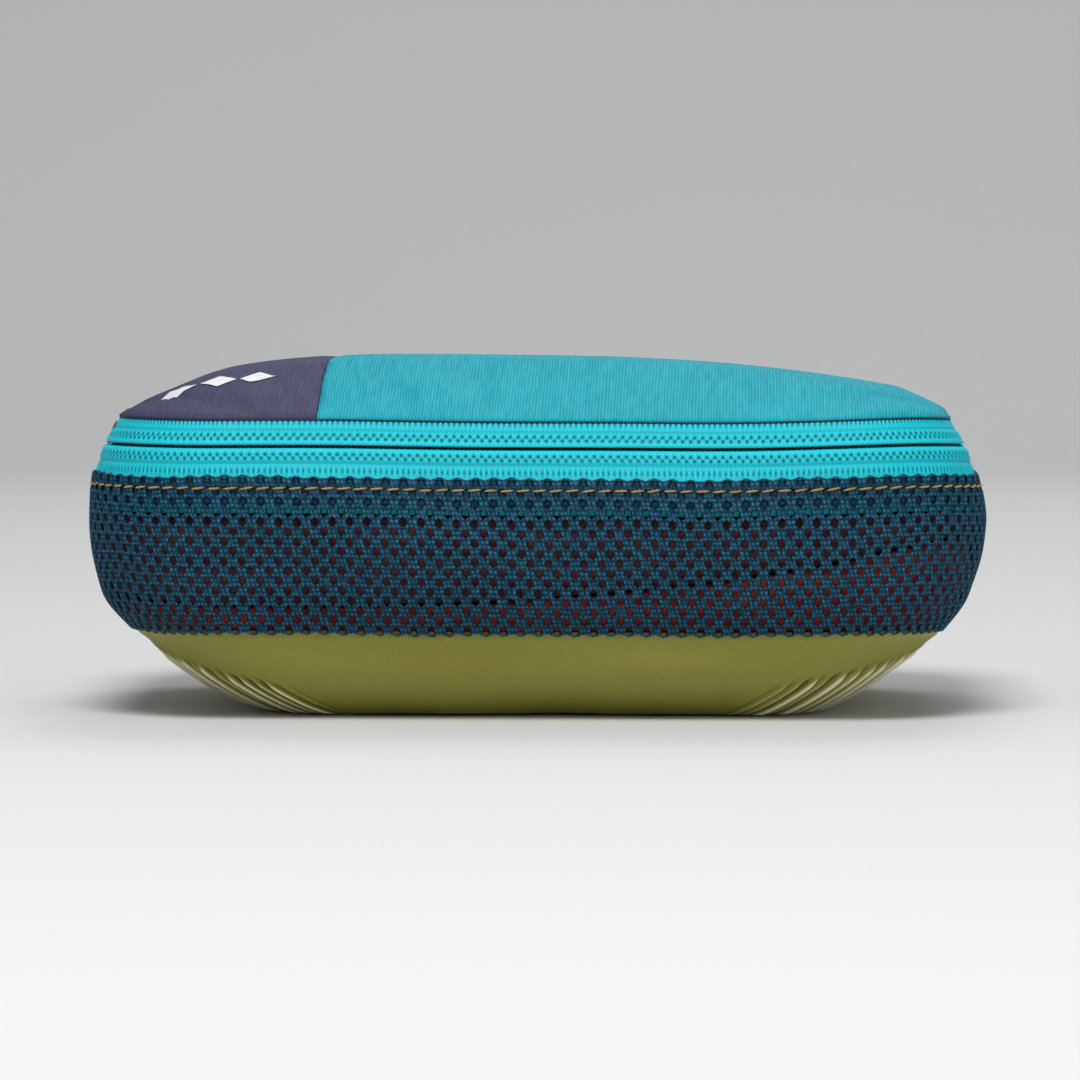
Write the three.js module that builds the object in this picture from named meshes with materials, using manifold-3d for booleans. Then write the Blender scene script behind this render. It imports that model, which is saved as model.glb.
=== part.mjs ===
// A soft travel packing cube, zipped shut over folded clothes.
// Millimetres, +Z up. The front is towards -Y, the hinge towards +Y and the end patch towards -X.
// The origin is the middle of the flat face that the cube rests on.

import * as THREE from 'three';
import { mergeVertices } from 'three/addons/utils/BufferGeometryUtils.js';
import Module from 'manifold-3d';

const wasm = await Module();
wasm.setup();

// ---- Driving dimensions ------------------------------------------------------------------------

const FULL_HALF_WIDTH = 122;
const FULL_HALF_DEPTH = 82;
const FULL_CORNER_RADIUS = 38;
const CORNER_STEPS = 8;

const BOTTOM_SEAM_Z = 24;
const NET_TOP_Z = 67;
const ZIP_LINE_Z = 75;
const LID_SEAM_Z = 83;
const DOME_HEIGHT = 10;
const DOME_POWER = 2.4;

// How far the side wall stands in from the fullest outline, at each height.
const WALL_LEVELS = [
  { z: BOTTOM_SEAM_Z, inset: 8.4 },
  { z: 31.5, inset: 4.2 },
  { z: 40, inset: 1.8 },
  { z: 50, inset: 0.3 },
  { z: 57, inset: 0 },
  { z: NET_TOP_Z, inset: 0.8 },
  { z: ZIP_LINE_Z, inset: 3.5 },
  { z: LID_SEAM_Z, inset: 8 },
];

// The bottom panel is a shallow bowl with a flat face under it.
const RESTING_HALF_WIDTH = 78;
const RESTING_HALF_DEPTH = 46;
const RESTING_CORNER_RADIUS = 30;
const BOWL_POWER = 0.65;
const BOWL_LEVELS = [0, 0.8, 3, 6.5, 11, 17, BOTTOM_SEAM_Z];
const BOWL_WALL = 2;
const BOWL_FLOOR = 1.2;

const GAP = 0.3;
const FABRIC = 1.2;
const TAPE = 0.9;
const TAPE_SETBACK = 0.5;
const TAPE_ALLOWANCE = 9;
const ZIP_GAP = 0.8;

const COIL_HEIGHT = 2.8;
const COIL_DEPTH = 2.2;
const COIL_SETBACK = TAPE_SETBACK + TAPE + GAP;
const COIL_END_DEGREES = 12;
const STOP_GAP_DEGREES = 1.5;

const BINDING = 1.2;
const BINDING_SETBACK = FABRIC + GAP;
const BOTTOM_BINDING_HEIGHT = 5;
const LID_BINDING_HEIGHT = 3;
const CORNER_BINDING_WIDTH = 6;

const PATCH_WIDTH = 56;
const PATCH_BINDING_WIDTH = 8;
const PATCH_BINDING_HALF_LENGTH = 62;
const PATCH_BINDING_THICKNESS = 1;

const GARMENT_CLEARANCE = 3.3;
const GARMENT_GAP = 0.6;
const GARMENT_FLOOR_Z = 2;
const GARMENT_FIRST_Z = 21;
const GARMENT_THIRD_Z = 54;
const GARMENT_TOP_Z = 68.5;
const GARMENT_ROUNDING = 3.5;

const SLIDER_PARKED_Y = 34;
const SLIDER_LENGTH = 12;
const SLIDER_WIDTH = 10.4;
const SLIDER_PLATE = 1.2;
const SLIDER_INNER_FACE = 4.3;
const SLIDER_POST_LENGTH = 3.5;
const SLIDER_POST_THICKNESS = 0.4;
const SLIDER_FLANGE = 1;
const SLIDER_FLANGE_DEPTH = 1.9;

const BAIL_LENGTH = 9;
const BAIL_HEIGHT = 3;
const BAIL_BAR = 1.2;
const BAIL_WIDTH = 2.2;

const LINK_PIN_FROM_MIDDLE = 2.3;
const LINK_LENGTH = 8.4;
const LINK_WIDTH = 5.4;
const LINK_BAR = 1.1;
const LINK_THICKNESS = 1;
const GRIP_LENGTH = 22;
const GRIP_WIDTH = 7;
const GRIP_THICKNESS = 2.2;

// ---- Colours -----------------------------------------------------------------------------------

const NAVY = 0x3e3a5c;
const TEAL = 0x1e96aa;
const CYAN = 0x12b4c6;
const NET_BLUE = 0x0f4b69;
const OLIVE = 0x82873a;
const RUST = 0x782a2a;
const PLUM = 0x3a2024;
const CHARCOAL = 0x26262a;
const SLATE = 0x2c2a30;
const METAL = 0x8a8d90;

// ---- Solids ------------------------------------------------------------------------------------

const group = new THREE.Group();

function fabric(color) {
  return new THREE.MeshStandardMaterial({ color, roughness: 0.85, metalness: 0 });
}

function metal() {
  return new THREE.MeshStandardMaterial({ color: METAL, roughness: 0.35, metalness: 1 });
}

function add(name, geometry, material, parent = group) {
  const mesh = new THREE.Mesh(geometry, material);
  mesh.name = name;
  parent.add(mesh);
}

function signedVolume(points, triangles) {
  let sum = 0;
  for (const [a, b, c] of triangles) {
    sum += points[a].dot(new THREE.Vector3().crossVectors(points[b], points[c]));
  }
  return sum / 6;
}

// A closed geometry whose faces point out, from its points and triangles in either winding.
function closedGeometry(points, triangles) {
  const inward = signedVolume(points, triangles) < 0;
  const index = triangles.flatMap(([a, b, c]) => (inward ? [a, c, b] : [a, b, c]));
  const geometry = new THREE.BufferGeometry().setFromPoints(points);
  geometry.setIndex(index);
  geometry.computeVertexNormals();
  return geometry;
}

function toManifold(geometry) {
  const bare = geometry.clone();
  bare.deleteAttribute('normal');
  bare.deleteAttribute('uv');
  const merged = mergeVertices(bare, 1e-4);
  const vertProperties = new Float32Array(merged.attributes.position.array);
  const triVerts = new Uint32Array(merged.index.array);
  return new wasm.Manifold(new wasm.Mesh({ numProp: 3, vertProperties, triVerts }));
}

function fromManifold(solid) {
  const { vertProperties, triVerts } = solid.getMesh();
  const geometry = new THREE.BufferGeometry();
  geometry.setAttribute('position', new THREE.BufferAttribute(vertProperties, 3));
  geometry.setIndex(new THREE.BufferAttribute(triVerts, 1));
  geometry.computeVertexNormals();
  return geometry;
}

function common(first, second) {
  return fromManifold(toManifold(first).intersect(toManifold(second)));
}

function joined(geometries) {
  return fromManifold(geometries.map(toManifold).reduce((sum, next) => sum.add(next)));
}

function boxBetween(low, high) {
  const size = high.map((value, axis) => value - low[axis]);
  const middle = high.map((value, axis) => (value + low[axis]) / 2);
  return new THREE.BoxGeometry(...size).translate(...middle);
}

// ---- The outline at each height ----------------------------------------------------------------

const mix = THREE.MathUtils.lerp;

function wallInset(z) {
  const above = WALL_LEVELS.findIndex((level) => level.z >= z);
  const high = WALL_LEVELS[Math.max(above, 1)];
  const low = WALL_LEVELS[Math.max(above, 1) - 1];
  return mix(low.inset, high.inset, (z - low.z) / (high.z - low.z));
}

// The rounded rectangle at height z: half its width, half its depth and its corner radius.
function outlineAt(z) {
  const inset = wallInset(Math.max(z, BOTTOM_SEAM_Z));
  const wall = {
    halfWidth: FULL_HALF_WIDTH - inset,
    halfDepth: FULL_HALF_DEPTH - inset,
    radius: FULL_CORNER_RADIUS - inset,
  };
  if (z >= BOTTOM_SEAM_Z) return wall;
  const share = (z / BOTTOM_SEAM_Z) ** BOWL_POWER;
  return {
    halfWidth: mix(RESTING_HALF_WIDTH, wall.halfWidth, share),
    halfDepth: mix(RESTING_HALF_DEPTH, wall.halfDepth, share),
    radius: mix(RESTING_CORNER_RADIUS, wall.radius, share),
  };
}

// A station is a place on the way round: the corner it belongs to and the direction it faces.
function cornerStations(sideX, sideY, fromDegrees, toDegrees, steps = CORNER_STEPS) {
  return Array.from({ length: steps + 1 }, (_, step) => ({
    sideX,
    sideY,
    angle: THREE.MathUtils.degToRad(mix(fromDegrees, toDegrees, step / steps)),
  }));
}

// From the back left corner past the left side, the front and the right side to the back right.
function threeSides(endDegrees = 0) {
  return [
    ...cornerStations(-1, 1, 90 + endDegrees, 180),
    ...cornerStations(-1, -1, 180, 270),
    ...cornerStations(1, -1, 270, 360),
    ...cornerStations(1, 1, 0, 90 - endDegrees),
  ];
}

// A point of the outline at height z, moved inwards by the setback.
function outlinePoint(station, z, setback = 0) {
  const { halfWidth, halfDepth, radius } = outlineAt(z);
  const reach = radius - setback;
  return new THREE.Vector3(
    station.sideX * (halfWidth - radius) + reach * Math.cos(station.angle),
    station.sideY * (halfDepth - radius) + reach * Math.sin(station.angle),
    z,
  );
}

const LAST_CORNER_X = FULL_HALF_WIDTH - FULL_CORNER_RADIUS;

// ---- Lofts -------------------------------------------------------------------------------------

// Rings of equally many points, joined in order, with a flat fan over the first and the last.
function loftRings(rings) {
  const count = rings[0].length;
  const points = rings.flat();
  const triangles = [];
  for (let ring = 0; ring + 1 < rings.length; ring += 1) {
    for (let step = 0; step < count; step += 1) {
      const a = ring * count + step;
      const b = ring * count + ((step + 1) % count);
      triangles.push([a, b, b + count], [a, b + count, a + count]);
    }
  }
  const lastStart = (rings.length - 1) * count;
  const firstMiddle = points.push(middleOf(rings[0])) - 1;
  const lastMiddle = points.push(middleOf(rings.at(-1))) - 1;
  for (let step = 0; step < count; step += 1) {
    const next = (step + 1) % count;
    triangles.push([firstMiddle, next, step]);
    triangles.push([lastMiddle, lastStart + step, lastStart + next]);
  }
  return closedGeometry(points, triangles);
}

function middleOf(ring) {
  return ring.reduce((sum, point) => sum.add(point), new THREE.Vector3()).divideScalar(ring.length);
}

// Sweeps a section along slices. Each slice holds the section's points at one place.
function sweepSlices(slices, section, closed) {
  const count = section.length;
  const points = slices.flat();
  const triangles = [];
  const spans = closed ? slices.length : slices.length - 1;
  for (let span = 0; span < spans; span += 1) {
    const here = span * count;
    const there = ((span + 1) % slices.length) * count;
    for (let step = 0; step < count; step += 1) {
      const next = (step + 1) % count;
      triangles.push([here + step, there + step, there + next], [here + step, there + next, here + next]);
    }
  }
  if (!closed) {
    const last = (slices.length - 1) * count;
    for (const [a, b, c] of flatTriangles(section)) {
      triangles.push([a, b, c], [last + a, last + c, last + b]);
    }
  }
  return closedGeometry(points, triangles);
}

// The triangles that fill a section of the wall, each wound the way its outline runs.
function flatTriangles(section) {
  const flat = section.map(({ setback, z }) => new THREE.Vector2(wallInset(z) + setback, z));
  const runs = Math.sign(THREE.ShapeUtils.area(flat));
  return THREE.ShapeUtils.triangulateShape(flat, []).map(([a, b, c]) => {
    const same = Math.sign(THREE.ShapeUtils.area([flat[a], flat[b], flat[c]])) === runs;
    return same ? [a, b, c] : [a, c, b];
  });
}

function sweepStations(stations, section, closed = false) {
  const slices = stations.map((station) =>
    section.map(({ setback, z }) => outlinePoint(station, z, setback)));
  return sweepSlices(slices, section, closed);
}

// The same section along the straight stretch of the back, between two places on X.
function sweepBack(fromX, toX, section) {
  const back = { sideX: 0, sideY: 1, angle: Math.PI / 2 };
  const slices = [fromX, toX].map((x) =>
    section.map(({ setback, z }) => outlinePoint(back, z, setback).setX(x)));
  return sweepSlices(slices, section, false);
}

// A section that follows the wall from lowZ to highZ, between two setbacks.
function wallSection(lowZ, highZ, outer, inner) {
  const between = WALL_LEVELS.map((level) => level.z).filter((z) => z > lowZ && z < highZ);
  const heights = [lowZ, ...between, highZ];
  const up = heights.map((z) => ({ setback: outer, z }));
  const down = heights.toReversed().map((z) => ({ setback: inner, z }));
  return [...up, ...down];
}

// ---- Base: bottom panel, net and back ----------------------------------------------------------

function bottomPanel() {
  const stations = allRound();
  const ring = (z, setback) => stations.map((station) => outlinePoint(station, z, setback));
  const outside = BOWL_LEVELS.map((z) => ring(z - rimGap(z), 0));
  const inside = BOWL_LEVELS.slice(2).toReversed().map((z) => ring(z - rimGap(z), BOWL_WALL));
  const floor = stations.map((station) => outlinePoint(station, BOWL_FLOOR, BOWL_WALL));
  return loftRings([...outside, ...inside, floor]);
}

// The bowl's rim stops just under the bottom seam.
function rimGap(z) {
  return z === BOTTOM_SEAM_Z ? GAP : 0;
}

function allRound() {
  return threeSides();
}

function netSection() {
  return wallSection(BOTTOM_SEAM_Z, NET_TOP_Z, 0, FABRIC);
}

// The lower tape: its seam allowance runs down behind the top of the net.
function lowerTapeSection() {
  const top = ZIP_LINE_Z - ZIP_GAP / 2;
  const inner = TAPE_SETBACK + TAPE;
  const behind = FABRIC + GAP;
  return [
    { setback: TAPE_SETBACK, z: NET_TOP_Z + GAP },
    { setback: TAPE_SETBACK, z: top },
    { setback: inner, z: top },
    { setback: inner, z: NET_TOP_Z + TAPE + GAP },
    { setback: behind + TAPE, z: NET_TOP_Z },
    { setback: behind + TAPE, z: NET_TOP_Z - TAPE_ALLOWANCE },
    { setback: behind, z: NET_TOP_Z - TAPE_ALLOWANCE },
    { setback: behind, z: NET_TOP_Z },
  ];
}

function upperTapeSection() {
  const low = ZIP_LINE_Z + ZIP_GAP / 2;
  return wallSection(low, LID_SEAM_Z - GAP, TAPE_SETBACK, TAPE_SETBACK + TAPE);
}

function coilSection(side) {
  const nearLine = ZIP_LINE_Z + side * (ZIP_GAP / 2 + 0.05);
  const farFromLine = nearLine + side * COIL_HEIGHT;
  const low = Math.min(nearLine, farFromLine);
  const high = Math.max(nearLine, farFromLine);
  return wallSection(low, high, COIL_SETBACK, COIL_SETBACK + COIL_DEPTH);
}

function addBase() {
  add('bottom_panel', bottomPanel(), fabric(OLIVE));
  add('mesh_gusset', sweepStations(threeSides(), netSection()), fabric(NET_BLUE));
  const back = LAST_CORNER_X - GAP;
  add('back_panel', sweepBack(-back, back, netSection()), fabric(NAVY));
  addBaseBindings();
  add('zip_tape_lower', sweepStations(threeSides(), lowerTapeSection()), fabric(CYAN));
  add('hinge_strip_lower', sweepBack(-back, back, lowerTapeSection()), fabric(CYAN));
  add('zip_coil_lower', sweepStations(threeSides(COIL_END_DEGREES), coilSection(-1)), fabric(CYAN));
  addZipStops();
}

// Woven tapes bind the raw edges on the inside.
function addBaseBindings() {
  const bottomLow = BOTTOM_SEAM_Z + GAP;
  const bottomHigh = bottomLow + BOTTOM_BINDING_HEIGHT;
  const inner = BINDING_SETBACK + BINDING;
  const bottomSection = wallSection(bottomLow, bottomHigh, BINDING_SETBACK, inner);
  add('bottom_seam_binding', sweepStations(allRound(), bottomSection, true), fabric(NAVY));
  const cornerHigh = NET_TOP_Z - TAPE_ALLOWANCE - GAP;
  const cornerSection = wallSection(bottomHigh + GAP, cornerHigh, BINDING_SETBACK, inner);
  const outer = LAST_CORNER_X - GAP;
  for (const [name, side] of [['left', -1], ['right', 1]]) {
    const strip = sweepBack(side * (outer - CORNER_BINDING_WIDTH), side * outer, cornerSection);
    add(`corner_seam_binding_${name}`, strip, fabric(NAVY));
  }
}

// A stop closes off each end of the lower coil, at the back corners.
function addZipStops() {
  const section = coilSection(-1);
  const near = 90 + STOP_GAP_DEGREES;
  const far = 90 + COIL_END_DEGREES - STOP_GAP_DEGREES;
  const left = cornerStations(-1, 1, near, far, 1);
  const right = cornerStations(1, 1, 180 - far, 180 - near, 1);
  add('zip_stop_left', sweepStations(left, section), metal());
  add('zip_stop_right', sweepStations(right, section), metal());
}

// ---- Folded clothes inside ---------------------------------------------------------------------

// The rust garment's top climbs towards the right end.
function rustTop(x) {
  const along = x / FULL_HALF_WIDTH;
  return 34 + 9 * along + 8 * along * along;
}

// A folded garment fills the case from lowAt(x) to highAt(x), with rounded sides.
function foldedGarment(lowAt, highAt) {
  const stations = allRound();
  const point = (station, share, inwards) => {
    const bulge = Math.sqrt(Math.max(0, 1 - (2 * share - 1) ** 2));
    const setback = GARMENT_CLEARANCE + GARMENT_ROUNDING * (1 - bulge);
    const first = outlinePoint(station, mix(lowAt(0), highAt(0), share), setback);
    const height = (x) => mix(lowAt(x), highAt(x), share);
    const placed = outlinePoint(station, height(first.x), setback);
    placed.multiply(new THREE.Vector3(inwards, inwards, 1));
    return placed.setZ(height(placed.x));
  };
  const ring = (share, inwards) => stations.map((station) => point(station, share, inwards));
  return loftRings([
    ring(0, 0.3),
    ring(0, 0.7),
    ...[0, 0.08, 0.25, 0.5, 0.75, 0.92, 1].map((share) => ring(share, 1)),
    ring(1, 0.7),
    ring(1, 0.3),
  ]);
}

function addGarments() {
  const half = GARMENT_GAP / 2;
  const floor = () => GARMENT_FLOOR_Z;
  const first = () => GARMENT_FIRST_Z;
  const third = () => GARMENT_THIRD_Z;
  const top = () => GARMENT_TOP_Z;
  const above = (height) => (x) => height(x) + half;
  const below = (height) => (x) => height(x) - half;
  add('folded_trousers', foldedGarment(floor, below(first)), fabric(CHARCOAL));
  add('folded_shirt', foldedGarment(above(first), below(rustTop)), fabric(RUST));
  add('folded_sweater', foldedGarment(above(rustTop), below(third)), fabric(PLUM));
  add('folded_tee', foldedGarment(above(third), top), fabric(SLATE));
}

// ---- Lid ---------------------------------------------------------------------------------------

// A domed shell over the lid seam. Lowering it and drawing in its edge gives what lies under it.
function domeShell(thickness, lowered = 0, drawnIn = 0) {
  const shares = [0.12, 0.35, 0.55, 0.72, 0.86, 0.95, 1];
  const stations = allRound();
  const ring = (share, setback, drop) => stations.map((station) => {
    const rise = DOME_HEIGHT * (1 - share ** DOME_POWER);
    const edge = outlinePoint(station, LID_SEAM_Z, setback);
    return new THREE.Vector3(edge.x * share, edge.y * share, LID_SEAM_Z + rise - drop);
  });
  const outside = shares.map((share) => ring(share, drawnIn, lowered));
  const inside = shares.toReversed().map((share) => {
    const drop = share === 1 ? lowered : lowered + thickness;
    return ring(share, drawnIn + thickness, drop);
  });
  return loftRings([...outside, ...inside]);
}

function addLid() {
  const seamX = PATCH_WIDTH - (FULL_HALF_WIDTH - wallInset(LID_SEAM_Z));
  const reach = FULL_HALF_WIDTH * 2;
  const dome = domeShell(FABRIC);
  const rightOfSeam = boxBetween([seamX + GAP / 2, -reach, -reach], [reach, reach, reach]);
  const leftOfSeam = boxBetween([-reach, -reach, -reach], [seamX - GAP / 2, reach, reach]);
  add('lid_main_panel', common(dome, rightOfSeam), fabric(TEAL));
  add('lid_end_patch', common(dome, leftOfSeam), fabric(NAVY));
  addLidBindings(seamX);
  const back = LAST_CORNER_X - GAP;
  add('zip_tape_upper', sweepStations(threeSides(), upperTapeSection()), fabric(CYAN));
  add('hinge_strip_upper', sweepBack(-back, back, upperTapeSection()), fabric(CYAN));
  add('zip_coil_upper', sweepStations(threeSides(COIL_END_DEGREES), coilSection(1)), fabric(CYAN));
}

function addLidBindings(seamX) {
  const setback = TAPE_SETBACK + TAPE + GAP;
  const high = LID_SEAM_Z - 2 * GAP;
  const section = wallSection(high - LID_BINDING_HEIGHT, high, setback, setback + BINDING);
  add('lid_seam_binding', sweepStations(allRound(), section, true), fabric(NAVY));
  const halfWidth = PATCH_BINDING_WIDTH / 2;
  const reach = PATCH_BINDING_HALF_LENGTH;
  const strip = boxBetween([seamX - halfWidth, -reach, 0], [seamX + halfWidth, reach, reach * 2]);
  const under = domeShell(PATCH_BINDING_THICKNESS, FABRIC + GAP, FABRIC);
  add('patch_seam_binding', common(under, strip), fabric(NAVY));
}

// ---- Zip slider and its pull -------------------------------------------------------------------

// How far the wall leans inwards over the zipper band.
const WALL_LEAN = Math.atan2(
  wallInset(LID_SEAM_Z) - wallInset(NET_TOP_Z),
  LID_SEAM_Z - NET_TOP_Z,
);

// A group on the left wall at the zip line. Its X axis points out of the wall, its Y axis runs
// forwards along the zip, and its Z axis climbs the wall.
function sliderFrame() {
  const outwards = new THREE.Vector3(-Math.cos(WALL_LEAN), 0, Math.sin(WALL_LEAN));
  const forwards = new THREE.Vector3(0, -1, 0);
  const upwards = new THREE.Vector3(Math.sin(WALL_LEAN), 0, Math.cos(WALL_LEAN));
  const frame = new THREE.Group();
  frame.quaternion.setFromRotationMatrix(new THREE.Matrix4().makeBasis(outwards, forwards, upwards));
  const wallX = -(FULL_HALF_WIDTH - wallInset(ZIP_LINE_Z));
  frame.position.set(wallX, SLIDER_PARKED_Y, ZIP_LINE_Z);
  group.add(frame);
  return frame;
}

// A flat outline given as (along Y, along Z), made thickness deep from X = fromX.
function plate(shape, fromX, thickness) {
  const geometry = new THREE.ExtrudeGeometry(shape, {
    depth: thickness,
    bevelEnabled: false,
    curveSegments: 6,
  });
  const basis = new THREE.Matrix4().makeBasis(
    new THREE.Vector3(0, 1, 0),
    new THREE.Vector3(0, 0, 1),
    new THREE.Vector3(1, 0, 0),
  );
  return geometry.applyMatrix4(basis).translate(fromX, 0, 0);
}

function roundedRectangle(lowY, highY, width, radius, Outline = THREE.Shape) {
  const half = width / 2;
  const outline = new Outline();
  outline.moveTo(lowY + radius, -half);
  outline.lineTo(highY - radius, -half);
  outline.absarc(highY - radius, radius - half, radius, -Math.PI / 2, 0);
  outline.absarc(highY - radius, half - radius, radius, 0, Math.PI / 2);
  outline.absarc(lowY + radius, half - radius, radius, Math.PI / 2, Math.PI);
  outline.absarc(lowY + radius, radius - half, radius, Math.PI, Math.PI * 1.5);
  return outline;
}

// Two plates joined by a thin level post that runs in the gap between the two coils. The inner
// plate hooks under the lower coil.
function sliderBody() {
  const half = SLIDER_LENGTH / 2;
  const innerX = -SLIDER_INNER_FACE - SLIDER_PLATE;
  const outline = roundedRectangle(-half, half, SLIDER_WIDTH, 3);
  const outerPlate = plate(outline, 0, SLIDER_PLATE);
  const innerPlate = plate(outline, innerX, SLIDER_PLATE);
  const postHalf = SLIDER_POST_THICKNESS / 2;
  const along = Math.cos(WALL_LEAN);
  const post = boxBetween(
    [(innerX + SLIDER_PLATE / 2) / along, half - SLIDER_POST_LENGTH - 1, -postHalf],
    [SLIDER_PLATE / 2 / along, half - 1, postHalf],
  ).rotateY(WALL_LEAN);
  const flange = boxBetween(
    [innerX + SLIDER_PLATE / 2, 3 - half, -SLIDER_WIDTH / 2],
    [SLIDER_FLANGE_DEPTH - SLIDER_INNER_FACE, half - 3, SLIDER_FLANGE - SLIDER_WIDTH / 2],
  );
  return joined([outerPlate, innerPlate, post, flange]);
}

// An arch that stands on the outer plate, along the zip.
function sliderBail() {
  const low = SLIDER_PLATE + GAP;
  const high = low + BAIL_HEIGHT;
  const half = BAIL_LENGTH / 2;
  const inner = half - BAIL_BAR;
  const arch = new THREE.Shape();
  arch.moveTo(-half, low);
  arch.lineTo(-inner, low);
  arch.lineTo(-inner, high - BAIL_BAR);
  arch.lineTo(inner, high - BAIL_BAR);
  arch.lineTo(inner, low);
  arch.lineTo(half, low);
  arch.lineTo(half, high - BAIL_BAR);
  arch.lineTo(inner, high);
  arch.lineTo(-inner, high);
  arch.lineTo(-half, high - BAIL_BAR);
  const geometry = new THREE.ExtrudeGeometry(arch, { depth: BAIL_WIDTH, bevelEnabled: false });
  const basis = new THREE.Matrix4().makeBasis(
    new THREE.Vector3(0, 1, 0),
    new THREE.Vector3(1, 0, 0),
    new THREE.Vector3(0, 0, -1),
  );
  return geometry.applyMatrix4(basis).translate(0, 0, BAIL_WIDTH / 2);
}

// A flat link whose eye goes round the bail's front leg, and a grip moulded on its far end.
function addPull(frame) {
  const middleX = SLIDER_PLATE + GAP + (BAIL_HEIGHT - BAIL_BAR) / 2;
  const linkX = middleX - LINK_THICKNESS / 2;
  const start = LINK_PIN_FROM_MIDDLE - LINK_BAR / 2;
  const end = start + LINK_LENGTH;
  const link = roundedRectangle(start, end, LINK_WIDTH, 1);
  const eyeEnd = BAIL_LENGTH / 2 + 1.4;
  const eyeWidth = LINK_WIDTH - 2 * LINK_BAR;
  link.holes.push(roundedRectangle(start + LINK_BAR, eyeEnd, eyeWidth, 0.5, THREE.Path));
  add('pull_link', plate(link, linkX, LINK_THICKNESS), metal(), frame);
  const gripOutline = roundedRectangle(end + GAP, end + GAP + GRIP_LENGTH, GRIP_WIDTH, 2);
  add('pull_grip', plate(gripOutline, middleX - GRIP_THICKNESS / 2, GRIP_THICKNESS), fabric(NAVY), frame);
}

function addSlider() {
  const frame = sliderFrame();
  add('slider_body', sliderBody(), metal(), frame);
  add('slider_bail', sliderBail(), metal(), frame);
  addPull(frame);
}

// ---- The whole cube ----------------------------------------------------------------------------

addBase();
addGarments();
addLid();
addSlider();

export default group;
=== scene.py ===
# The looks of a soft packing cube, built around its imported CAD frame. Metres, +Z up.
# The front is towards -Y, the hinge towards +Y and the contrasting end patch towards -X.
import math
from contextlib import contextmanager

import bmesh
import bpy
import numpy as np
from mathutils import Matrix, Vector
from mathutils.bvhtree import BVHTree


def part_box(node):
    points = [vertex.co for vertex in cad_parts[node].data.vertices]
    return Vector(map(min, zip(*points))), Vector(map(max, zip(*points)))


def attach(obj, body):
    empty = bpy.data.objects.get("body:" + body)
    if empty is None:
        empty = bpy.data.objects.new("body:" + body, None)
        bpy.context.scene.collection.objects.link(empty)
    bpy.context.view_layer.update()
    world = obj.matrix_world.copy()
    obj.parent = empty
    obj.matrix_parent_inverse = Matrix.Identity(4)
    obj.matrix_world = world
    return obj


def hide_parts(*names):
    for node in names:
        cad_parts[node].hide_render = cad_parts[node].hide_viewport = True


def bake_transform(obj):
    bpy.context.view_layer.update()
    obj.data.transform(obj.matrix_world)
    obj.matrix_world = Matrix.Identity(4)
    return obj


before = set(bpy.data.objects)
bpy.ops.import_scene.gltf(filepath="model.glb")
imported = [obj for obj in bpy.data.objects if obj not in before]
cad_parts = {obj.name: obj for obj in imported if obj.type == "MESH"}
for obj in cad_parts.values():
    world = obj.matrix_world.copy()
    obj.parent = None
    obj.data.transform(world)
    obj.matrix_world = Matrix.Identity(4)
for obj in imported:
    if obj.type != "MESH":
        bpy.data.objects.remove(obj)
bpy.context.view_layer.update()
MM = 0.001

# ---- Sizes taken from the frame ----

NET_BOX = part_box("mesh_gusset")
LID_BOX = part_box("lid_main_panel")
PATCH_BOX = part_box("lid_end_patch")
TAPE_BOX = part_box("zip_tape_upper")

HALF_WIDTH = NET_BOX[1].x
HALF_DEPTH = NET_BOX[1].y
SEAM_Z = NET_BOX[0].z
NET_TOP_Z = NET_BOX[1].z
LID_SEAM_Z = LID_BOX[0].z
ZIP_Z = (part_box("zip_tape_lower")[1].z + TAPE_BOX[0].z) / 2
PATCH_X = (PATCH_BOX[1].x + LID_BOX[0].x) / 2

# ---- Sizes of the sewn case ----

CORNER_RADIUS = 38 * MM
RESTING = {"half_width": 78 * MM, "half_depth": 46 * MM, "radius": 30 * MM}
BOWL_POWER = 0.65
BELLY = 1.6 * MM
LUMPS, SMALL_LUMPS = 0.9 * MM, 0.16 * MM
WAVER = 0.55 * MM
DOME_HEIGHT = 1.2 * (LID_BOX[1].z - LID_SEAM_Z)
DOME_POWER = 3.0
DOME_LEAN = 0.2
DOME_FULL_LEFT = 0.35
LEFT_TUCK = 6 * MM
RIGHT_TUCK = 3 * MM
WALL_HEIGHTS = np.array([24, 31.5, 40, 50, 57, 67, 75, 83]) * MM
WALL_INSETS = np.array([8.4, 4.2, 1.8, 0.3, 0, 0.8, 3.5, 8]) * MM

TAPE_SETBACK = 0.5 * MM
COIL_SETBACK = 2.0 * MM
ZIP_GAP = 0.8 * MM

HOLE_PITCH = 4.85 * MM
HOLE_ROW = 2.8 * MM
HOLE_HALF_WIDTH = 0.8 * MM
HOLE_HALF_HEIGHT = 1.58 * MM
NET_RIDGE = 0.5 * MM
NET_VALLEY = 0.16 * MM
NET_BACK = 0.25 * MM
CELL_POINTS = 12


# ---- Smooth noise, the same on every run ----

WAVES_PER_FIELD = 7


def waves(seed, shortest, longest):
    """A few sine waves of random direction and length, for a smooth unrepeating field."""
    count = WAVES_PER_FIELD
    dice = np.random.default_rng(seed)
    angle = dice.uniform(0, 2 * np.pi, count)
    length = dice.uniform(shortest, longest, count)
    phase = dice.uniform(0, 2 * np.pi, count)
    return np.cos(angle) * 2 * np.pi / length, np.sin(angle) * 2 * np.pi / length, phase


def field(u, v, seed, shortest, longest):
    """Smooth noise from about -1 to 1 at each (u, v)."""
    along, across, phase = waves(seed, shortest, longest)
    total = sum(np.sin(u * a + v * b + p) for a, b, p in zip(along, across, phase))
    return total / np.sqrt(WAVES_PER_FIELD)


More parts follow.
